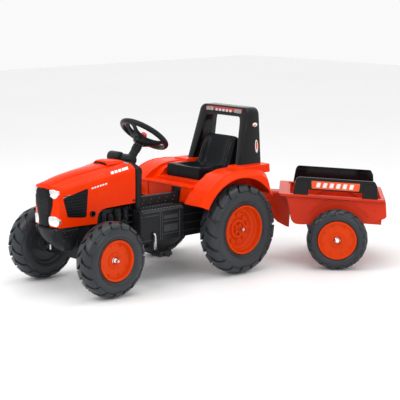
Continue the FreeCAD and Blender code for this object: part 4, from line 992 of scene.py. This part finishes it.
def floor_moulding():
    """The footrests, with a ridge on the left, ribs on the sides and a tread."""
    bm = bmesh.new()
    half, level = FLOOR_HALF, FLOOR_LEVEL
    ridge = [(84, level), (80, 282), (80, 314), (78, 318), (74, 320), (62, 320), (58, 318), (56, 314),
             (56, 282), (52, level)]
    section = [(-half, 155), (half, 155), (half, level - 4), (half - 3, level), *ridge, (3 - half, level),
               (-half, level - 4)]
    loops = []
    for y, sink in ((-410, 3), (-407, 0), (-198, 0), (-195, 3)):
        loops.append([(x * (1 - sink / half), y, z - (sink if z > 200 else -sink)) for x, z in section])
    skin(bm, loops)
    tail = rounded([(-197, 150), (116, 150), (158, 200), (158, 278), (-197, 278)], 7, 3)
    prism(bm, tail, -115, 115, "X")
    prism(bm, rounded([(56, 262), (80, 262), (80, 320), (56, 320)], 4, 3), -200, -158, "Y")
    finish_mesh("floor_moulding", bm, BLACK, "chassis", ("main_body",), round_by=1.5)
    bm = bmesh.new()
    for side in (1, -1):
        for low_y, high_y, low_z, high_z, out in FLOOR_RIBS:
            side_box(bm, side, (FLOOR_HALF - 2, low_y, low_z), (FLOOR_HALF + out, high_y, high_z))
        for z in (170, 200, 232):
            side_box(bm, side, (112, -185, z), (116.6, 105, z + 4))
    # painted highlight: the footrest's side ribs and the body's side lines get the lighter rib black
    finish_mesh("floor_ribs", bm, RIB_PAINTED_HIGHLIGHT, "chassis", round_by=1.0)
    bm = bmesh.new()
    for side in (1, -1):
        for x in (137, 112, 87):
            for step in range(13):
                tread_bar(bm, side * x, -394 + step * 15.4, FLOOR_LEVEL - 0.4, -0.66 * side,
                          0.4 if x == 112 else 1)
    for step in range(6):
        for z in (292, 306):
            disc(bm, 1.6, 79.5, 81, (-531 + step * 38 + z * 0.5, z), 8, dome=0.6)
    # painted highlight: the tread bars and dots get the light grey tread material
    finish_mesh("tread_bars", bm, TREAD_PAINTED_HIGHLIGHT, "chassis", round_by=0.4, smooth=50)


def tread_bar(bm, x, y, z, lean, size):
    """One raised lozenge of the footrest's tread pattern."""
    along = Vector((math.sin(lean), math.cos(lean)))
    across = Vector((along.y, -along.x))
    corners = ((-6.5, 0), (-3, 2), (3, 2), (6.5, 0), (3, -2), (-3, -2))
    base = [Vector((x, y)) + (along * a + across * b) * size for a, b in corners]
    top = [Vector((x, y)) + (p - Vector((x, y))) * 0.62 for p in base]
    skin(bm, [[(p.x, p.y, z) for p in base], [(p.x, p.y, z + 2.0) for p in top]])


def crank():
    """The bent rod that carries both pedals."""
    bm = bmesh.new()
    for side, arm in ((1, -CRANK_ARM), (-1, CRANK_ARM)):
        bends = ((120, 0), (141, 0), (151, 0.07), (153.5, 0.24), (153.5, 0.76), (156, 0.95), (166, 1),
                 (222, 1))
        path = [(side * x, CRANK_Y, CRANK_Z + arm * share) for x, share in bends]
        sweep(bm, smooth_path(path, 6), circle(5, 14), up=(0, 1, 0.01))
    sweep(bm, [Vector((-122, CRANK_Y, CRANK_Z)), Vector((122, CRANK_Y, CRANK_Z))], circle(5, 14),
          up=(0, 1, 0))
    finish_mesh("crank_bent_rod", bm, STEEL, "crank", ("crank_rod",), smooth=50)


def pedals():
    """A ribbed block on each throw of the rod."""
    for side_name, side in SIDES:
        bm = bmesh.new()
        height = CRANK_Z - side * CRANK_ARM
        outline = rounded([(-377, height - 8), (-317, height - 8), (-315, height), (-319, height + 9.5),
                           (-375, height + 9.5), (-379, height)], 4, 3)
        a, b = sorted((side * 163, side * 216))
        loops = []
        for x, shrink in ((a, 0.9), (a + 2.5, 1), (b - 2.5, 1), (b, 0.9)):
            loops.append([(x, CRANK_Y + (y - CRANK_Y) * shrink, height + (z - height) * shrink)
                          for y, z in outline])
        skin(bm, loops)
        for step in range(5):
            y = -371 + step * 12
            boxed(bm, (a + 4, y - 1.8, height + 8.5), (b - 4, y + 1.8, height + 12))
            boxed(bm, (a + 4, y - 1.8, height - 10.5), (b - 4, y + 1.8, height - 7))
        finish_mesh(f"pedal_block_{side_name}", bm, BLACK, f"{side_name}_pedal", (f"pedal_{side_name}",),
                    round_by=0.8)


# ---- fenders, plinth, seat, roll bar ----

CROWN = [(29, 223), (84, 223), (95, 223.5), (106, 231), (116.3, 242), (122, 247), (127, 247), (131, 241),
         (137, 228), (144.9, 214)]


def round_axle(angle, radius):
    """(y, z) at an angle from the front and a radius round the rear axle."""
    a = math.radians(angle)
    return -radius * math.cos(a), REAR_RADIUS + radius * math.sin(a)


def fenders():
    """An arched fender on each side and the pad that carries the roll bar."""
    for side_name, side in SIDES:
        bm = bmesh.new()
        loops = []
        angles = [29 + step * (144.9 - 29) / 60 for step in range(61)]
        for angle in angles:
            crown = along_table(CROWN, angle)
            low = 199 + (3 if angle < 33 else 0)
            drop = min(16, (crown - 203) * 0.75)
            section = [(150, crown - 2), (152, crown), (190, crown + 0.4), (228, crown), (234, crown - 0.2),
                       (236, crown + 1.2), (239, crown + 1.4), (241, crown - 0.8), (248, crown - drop * 0.42),
                       (256, crown - drop), (260, crown - drop - 2), (261.6, crown - drop - 4.5), (262, 205),
                       (262, 200.5), (260.5, low), (258, 200.5), (256.5, 203), (252, 205), (240, crown - 7),
                       (152, crown - 6)]
            loops.append([(side * x,) + round_axle(angle, r) for x, r in section])
        skin(bm, loops)
        outline = [round_axle(a, along_table(CROWN, a) - 0.6) for a in angles[::2]]
        outline += [(175, 288), (-195, 284)]
        side_prism(bm, side, outline, 146, 152)
        finish_mesh(f"fender_{side_name}", bm, ORANGE, "chassis", ("fender_unit",) if side > 0 else (),
                    smooth=32)
        bm = bmesh.new()
        pad = rounded([(118, 58), (199, 58), (203, 66), (203, 206), (196, 214), (118, 214)], 5, 3)
        loops = []
        for z, grow in ((372, 3), (398, 0.4), (402, -0.4), (403.4, -2.5)):
            loop = []
            for x, y in pad:
                shove = (x - 160) / 43
                slide = -1.6 * (403 - z) * 0.55 if y < 100 else 0.0
                loop.append((side * (x + shove * grow), y + slide * 0.5, z))
            loops.append(loop if side > 0 else loop[::-1])
        skin(bm, loops)
        for y in (75, 132, 190):
            side_box(bm, side, (200, y, 384), (206, y + 6, 402))
        finish_mesh(f"bar_pad_{side_name}", bm, ORANGE, "chassis", round_by=1.2)


def plinth():
    """The deck under the seat, with a dark gap in its front."""
    bm = bmesh.new()
    for outline in ([(-148, 280), (30, 280), (37, 341), (-148, 341)],
                    [(81, 280), (148, 280), (148, 341), (95, 341)]):
        prism(bm, rounded(outline, 3, 2), -165, -150, "Y")
    prism(bm, [(-148, 284), (148, 284), (148, 342), (-148, 342)], -157, 190, "Y")
    prism(bm, [(-150, 338), (150, 338), (150, 343.5), (-150, 343.5)], -168, -110, "Y")
    prism(bm, rounded([(-116, 338), (116, 338), (108, 354.5), (-108, 354.5)], 3, 3), -112, -60, "Y")
    prism(bm, [(-110, 341), (190, 341), (196, 346), (-104, 346)], -118, 118, "X")
    for side in (1, -1):
        rise = rounded([(-150, 341), (-104, 341), (-60, 380), (0, 394), (60, 396), (150, 390), (176, 330),
                        (176, 300), (-150, 300)], 8, 3)
        side_prism(bm, side, rise, 118, 150)
        path = [Vector((side * 100, -166.5, 288)), Vector((side * 104, -166.5, 338))]
        sweep(bm, path, circle(2, 8), up=(1, 0, 0))
    finish_mesh("plinth", bm, ORANGE, "chassis", round_by=1.5)
    bm = bmesh.new()
    boxed(bm, (31, -158.5, 281), (94, -157, 338.5))
    finish_mesh("plinth_gap", bm, BLACK, "chassis")


def seat():
    """The one-piece seat: a dished pan and back with raised bolsters down both sides."""
    stations = [((-69, 348.2), (-71.5, 351), 0, 93), ((-67, 347.8), (-72, 356), 0, 95),
                ((-64, 347.6), (-72, 388), 0, 95), ((-60, 347.6), (-71, 399), 0, 95),
                ((-55, 347.6), (-64, 402), 1, 95), ((-46, 347.6), (-50, 400.5), 4, 95),
                ((-20, 347.6), (-24, 393), 10, 95), ((20, 347.6), (14, 386), 17, 95),
                ((55, 347.6), (44, 381), 21, 95), ((88, 348), (68, 380), 22, 95),
                ((108, 352), (86, 386), 20, 95), ((122, 362), (96, 400), 18, 94.5),
                ((133, 390), (104, 424), 17, 94), ((142, 425), (113, 452), 15, 93),
                ((149, 458), (122, 478), 11, 91), ((154, 482), (130, 494), 7, 88),
                ((155.5, 496), (138, 503.5), 3, 84), ((151, 505), (145, 507.5), 0, 78)]
    shares = [0.2, 0.45, 0.6, 0.68, 0.76, 0.84, 0.93, 0.985, 1]
    shares = [-share for share in shares[::-1]] + [0] + shares
    rise = {0: 0, 0.2: 0.0, 0.45: 0.05, 0.6: 0.3, 0.68: 0.78, 0.76: 1.0, 0.84: 0.92, 0.93: 0.62, 0.985: 0.1,
            1: -0.4}
    bm = bmesh.new()
    loops = []
    for (back, front, bolster, half) in stations:
        b, f = Vector(back), Vector(front)
        way = (f - b).normalized()
        loop = []
        for share in shares:
            sag = -2.2 * (1 - share * share) if bolster > 3 else 0.0
            p = f + way * (bolster * rise[abs(share)] + sag)
            loop.append((share * half, p.x, p.y))
        lower = f * 0.5 + b * 0.5
        loop.append((half, lower.x, lower.y))
        loop.append((half * 0.985, b.x + way.x, b.y + way.y))
        loop += [(half * 0.9 * k, b.x, b.y) for k in (1, 0.5, 0, -0.5, -1)]
        loop.append((-half * 0.985, b.x + way.x, b.y + way.y))
        loop.append((-half, lower.x, lower.y))
        loops.append(loop)
    skin(bm, loops)
    piece = finish_mesh("seat_shell", bm, SEAT, "seat_unit", ("seat",), smooth=60)
    sub = piece.modifiers.new("smooth", "SUBSURF")
    sub.levels = sub.render_levels = 2


def roll_bar():
    """The hoop, its plain label and the plain badges on its sides."""
    def front_face(z):
        return along_table([(403, 91), (560, 137), (593, 146.5), (623, 152)], z)
    pairs = []
    for k in range(9):
        z = 403.3 + (585 - 403.3) * k / 9
        share = (z - 403) / 190
        pairs.append(((155 - 13 * share, z), (125 - 28 * share * 190 / 182, min(z, 573))))
    for k in range(7):
        a = math.pi / 2 * k / 6
        pairs.append(((112 + 30 * math.cos(a), 593 + 30 * math.sin(a)),
                      (85 + 12 * math.cos(a), 573 + 12 * math.sin(a))))
    for x in (60, 30):
        pairs.append(((x * 1.2, 623.0), (x, 585.0)))
    outer, inner = (both_ways(list(line), [(0, top)]) for line, top in zip(zip(*pairs), (623.0, 585.0)))
    bm = bmesh.new()
    loops = []
    for o, i in zip(map(Vector, outer), map(Vector, inner)):
        way = (o - i).normalized()
        fo, fi = front_face(o.y), front_face(i.y)
        loop = []
        for p, y in ((i, fi + 5), (i + way * 1.2, fi + 1.6), (i + way * 5, fi), (o - way * 5, fo),
                     (o - way * 1.2, fo + 1.6), (o, fo + 5), (o, 203), (o - way * 1.2, 206.4),
                     (o - way * 5, 208), (i + way * 5, 208), (i + way * 1.2, 206.4), (i, 203)):
            loop.append((p.x, y, p.y))
        loops.append(loop)
    skin(bm, loops)
    finish_mesh("hoop", bm, GLOSS_BLACK, "chassis", ("roll_bar",), smooth=40)
    # the plain label along the top: a red band with grey ends and pale bars
    def label(name, low, high, bottom, top, lift, material, node=()):
        bm = bmesh.new()
        outline = rounded([(low, bottom), (high, bottom), (high, top), (low, top)], 6, 4)
        loops = []
        for out in (0.9, -lift):
            loops.append([(x, front_face(z) + out, z) for x, z in outline])
        skin(bm, loops)
        finish_mesh(name, bm, material, "chassis", node, round_by=0.2)
    label("label_band", -104, 104, 590, 616.5, 0.5, LABEL_RED, ("roll_bar_plate",))
    label("label_end_left", 62, 100, 593, 613.5, 0.8, LABEL_GREY)
    label("label_end_right", -100, -62, 593, 613.5, 0.8, LABEL_GREY)
    for index in range(5):
        x = -48 + index * 20
        label(f"label_bar_{index}", x, x + 14, 597, 610, 0.8, SILVER)
    for side_name, side in SIDES:
        for index, (y, z, long, high, material) in enumerate((
                (182, 556, 13, 8, WHITE), (180, 553, 9, 3, LABEL_ORANGE), (186, 470, 8, 26, WHITE),
                (186, 474, 4.5, 18, LABEL_ORANGE))):
            bm = bmesh.new()
            loops = []
            for lift in (-0.6, 0.3 + 0.25 * (index % 2)):
                loop = []
                for k in range(20):
                    a = math.tau * k / 20
                    zz = z + high * math.sin(a)
                    loop.append((side * (155 - 13 * (zz - 403) / 190 + lift), y + long * math.cos(a), zz))
                loops.append(loop)
            skin(bm, loops)
            finish_mesh(f"side_badge_{side_name}_{index}", bm, material, "chassis")


# ---- trailer ----

def tub():
    """The trailer's open tub, its wheel arches, rim and drawbar."""
    bm = bmesh.new()
    side_outline = [(-226, 276), (-206, 256), (-184, 170), (-170, 158), (-150, 156), (122, 178), (180, 200),
                    (191, 208), (182, 276)]
    side_outline = rounded(side_outline, 9, 3)
    loops = []
    for x, shrink in ((-146, 3.0), (-143.5, 0.8), (-140, 0), (140, 0), (143.5, 0.8), (146, 3.0)):
        loop = []
        for y, z in side_outline:
            cy, cz = y + 20, z - 225
            length = math.hypot(cy, cz)
            loop.append((x, y - cy / length * shrink, z - cz / length * shrink))
        loops.append(loop)
    skin(bm, loops)
    shell = finish_mesh("tub_shell", bm, RED, "trailer", ("trailer_tub",), smooth=35, place=TRAILER)
    hollow = bmesh.new()
    boxed(hollow, (-137, -196, 176), (137, 172, 300))
    for side in (1, -1):
        side_disc(hollow, side, 143.5, 131.5, 160, (0, TRAILER_RADIUS), 72)
    carve(shell, hollow, TRAILER)
    bm = bmesh.new()
    for side in (1, -1):
        for start, section in ((38, ((144, 143), (150.5, 143.5), (151, 146), (150, 148.5), (144, 152))),
                               (36, ((131.5, 143), (131.5, 147), (146, 147), (146, 143)))):
            loops = []
            for k in range(41):
                a = math.radians(start + (180 - 2 * start) * k / 40)
                ring = [(side * x, -r * math.cos(a), TRAILER_RADIUS + r * math.sin(a)) for x, r in section]
                loops.append(ring if side > 0 else ring[::-1])
            skin(bm, loops)
    loops = []
    for z, grow in ((269, -1), (270, 0), (278, 0), (279.2, -1.2)):
        loops.append(rim_line(160 + grow, -240 - grow, 180 + grow, z))
    loops += [rim_line(*row) for row in ((137, -203, 164, 279.2), (137, -201, 164, 262),
                                         (141, -206, 170, 262), (143, -209, 172, 269))]
    skin(bm, loops + [loops[0]], caps=False)
    for side in (1, -1):
        side_box(bm, side, (145, -199, 262), (147.5, 183, 266))
    finish_mesh("tub_rim", bm, RED, "trailer", smooth=35, place=TRAILER)
    bm = bmesh.new()
    drawbar = [(-190, 121, 258, 40), (-205, 124, 262, 38), (-240, 140, 264, 36), (-275, 172, 264, 34),
               (-320, 203, 260, 32), (-370, 221, 253, 28), (-396, 224, 249, 20), (-410, 225.5, 246, 14),
               (-445, 226, 243.5, 14), (-453, 228, 242, 12)]
    loops = []
    for y, low, high, half in drawbar:
        soft = min(6, half * 0.4)
        loops.append([(-half + soft, y, low), (half - soft, y, low), (half, y, low + soft),
                      (half, y, high - soft), (half - soft, y, high), (soft - half, y, high),
                      (-half, y, high - soft), (-half, y, low + soft)])
    skin(bm, loops)
    for side in (1, -1):
        side_prism(bm, side, rounded([(-26, 106), (26, 106), (60, 180), (-60, 180)], 8, 3), 97, 107)
    finish_mesh("drawbar", bm, RED, "trailer", round_by=1.2, smooth=35, place=TRAILER)


def rim_line(half, front, rear, z):
    """A round-cornered rectangle of the tub's rim."""
    corners = [(-half, front), (half, front), (half, rear), (-half, rear)]
    return [(x, y, z) for x, y in rounded(corners, 12, 4)]


def boards():
    """The side boards on their posts, with plain bars for a label."""
    for side_name, side in SIDES:
        bm = bmesh.new()
        panel = rounded([(-177, 300), (-177, 336), (-168, 349), (133, 349), (141, 336), (144, 300)], 6, 3)
        side_prism(bm, side, panel, 147, 155)
        for low_y, high_y, lean in ((-184, -124, 1), (86, 150, -1)):
            post = rounded([(low_y, 279.6), (high_y, 279.6), (high_y - 5 * max(0, -lean) - 2, 336),
                            (low_y + 7, 336)], 5, 3)
            side_prism(bm, side, post, 144, 159)
        finish_mesh(f"board_{side_name}", bm, GLOSS_BLACK, "trailer", (f"side_board_{side_name}",),
                    round_by=1.6, place=TRAILER)
        bm = bmesh.new()
        side_prism(bm, side, rounded([(-112, 306), (74, 306), (76, 337), (-115, 337)], 4, 3), 154.5, 155.6)
        finish_mesh(f"board_label_{side_name}", bm, LABEL_ORANGE, "trailer", round_by=0.2, place=TRAILER)
        bm = bmesh.new()
        for y in range(-96, 60, 26):
            side_prism(bm, side, [(y, 312), (y + 15, 312), (y + 19, 331), (y + 4, 331)], 155.3, 156.2)
        finish_mesh(f"board_marks_{side_name}", bm, WHITE, "trailer", round_by=0.2, place=TRAILER)


# ---- carried-over CAD nodes ----

KEPT = {
    BLACK: ["hitch_bracket", "axle_bushes", "crank_bushes", "pedal_caps", "loader_bushes",
            "front_axle_beam", "body_screws", "rear_axle_caps"],
    STEEL: ["knuckle_left", "knuckle_right", "tie_rod", "steering_column", "rear_axle", "trailer_axle",
            "kingpins", "hitch_pin", "hood_hinge_pins", "seat_bolts", "crank_sprocket", "rear_sprocket",
            "drive_chain", "horn_spring"],
}


def dress_cad():
    """Gives every CAD node a material; those that a piece replaces stay hidden."""
    given = {name: material for material, names in KEPT.items() for name in names}
    for name, node in frame["nodes"].items():
        node.data.materials.clear()
        node.data.materials.append(given.get(name, CHROME if "nut" in name else BLACK))
        node.data.set_sharp_from_angle(angle=math.radians(35))


# ---- studio ----

def studio():
    """A pale floor, a white world and three soft lamps."""
    ground = cad_box[0].z
    bm = bmesh.new()
    boxed(bm, (-9, -9, -0.02), (9, 9, 0))
    mesh = bpy.data.meshes.new("floor")
    bm.to_mesh(mesh)
    bm.free()
    floor = bpy.data.objects.new("floor", mesh)
    bpy.context.scene.collection.objects.link(floor)
    floor.location.z = ground
    material, tree, shader = nodes_of("studio_floor")
    tree.links.new(ramp(tree, noise(tree, 0.6), [(0.3, grey(0.92)), (0.7, grey(0.94))]),
                   shader.inputs["Base Color"])
    shader.inputs["Roughness"].default_value = 0.45
    shader.inputs["Specular IOR Level"].default_value = 0.25
    mesh.materials.append(material)
    world = bpy.data.worlds.new("studio")
    world.use_nodes = True
    world.node_tree.nodes["Background"].inputs["Color"].default_value = (1, 1, 1, 1)
    world.node_tree.nodes["Background"].inputs["Strength"].default_value = 0.95
    bpy.context.scene.world = world
    bpy.context.scene.view_settings.view_transform = "Standard"
    lamps = [("key", (-0.6, -2.6, 2.6), (0.2, -0.2, 0.3), 1.6, 30),
             ("side", (3.2, -0.6, 2.0), (0.2, 0.1, 0.2), 1.2, 14),
             ("top", (0.2, 0.4, 3.2), (0.2, 0.2, 0.2), 2.0, 26)]
    for name, place, target, size, power in lamps:
        light = bpy.data.lights.new(name, "AREA")
        light.energy = power
        light.size = size
        item = bpy.data.objects.new(name, light)
        item.location = place
        item.rotation_euler = (Vector(target) - Vector(place)).to_track_quat("-Z", "Y").to_euler()
        bpy.context.scene.collection.objects.link(item)


def camera():
    """The photo's view: where the camera stands, what it looks at and its lens."""
    azimuth, elevation, distance, lens_mm = math.radians(47.609), math.radians(10.049), 4.0, 118.7901
    target = Vector((0.9296 + zero.x, -0.8292 + zero.y, 0.4764))
    offset = Vector((math.cos(elevation) * math.sin(azimuth), -math.cos(elevation) * math.cos(azimuth),
                     math.sin(elevation)))
    lens = bpy.data.cameras.new("camera")
    lens.sensor_width = 36
    lens.lens = lens_mm
    item = bpy.data.objects.new("camera", lens)
    item.location = target + offset * distance
    item.rotation_euler = (-offset).to_track_quat("-Z", "Y").to_euler()
    bpy.context.scene.collection.objects.link(item)
    bpy.context.scene.camera = item


dress_cad()
wheels()
axle_caps()
hood()
nose()
bumper()
engine()
dash()
steering_wheel()
floor_moulding()
crank()
pedals()
fenders()
plinth()
seat()
roll_bar()
tub()
boards()
studio()
camera()
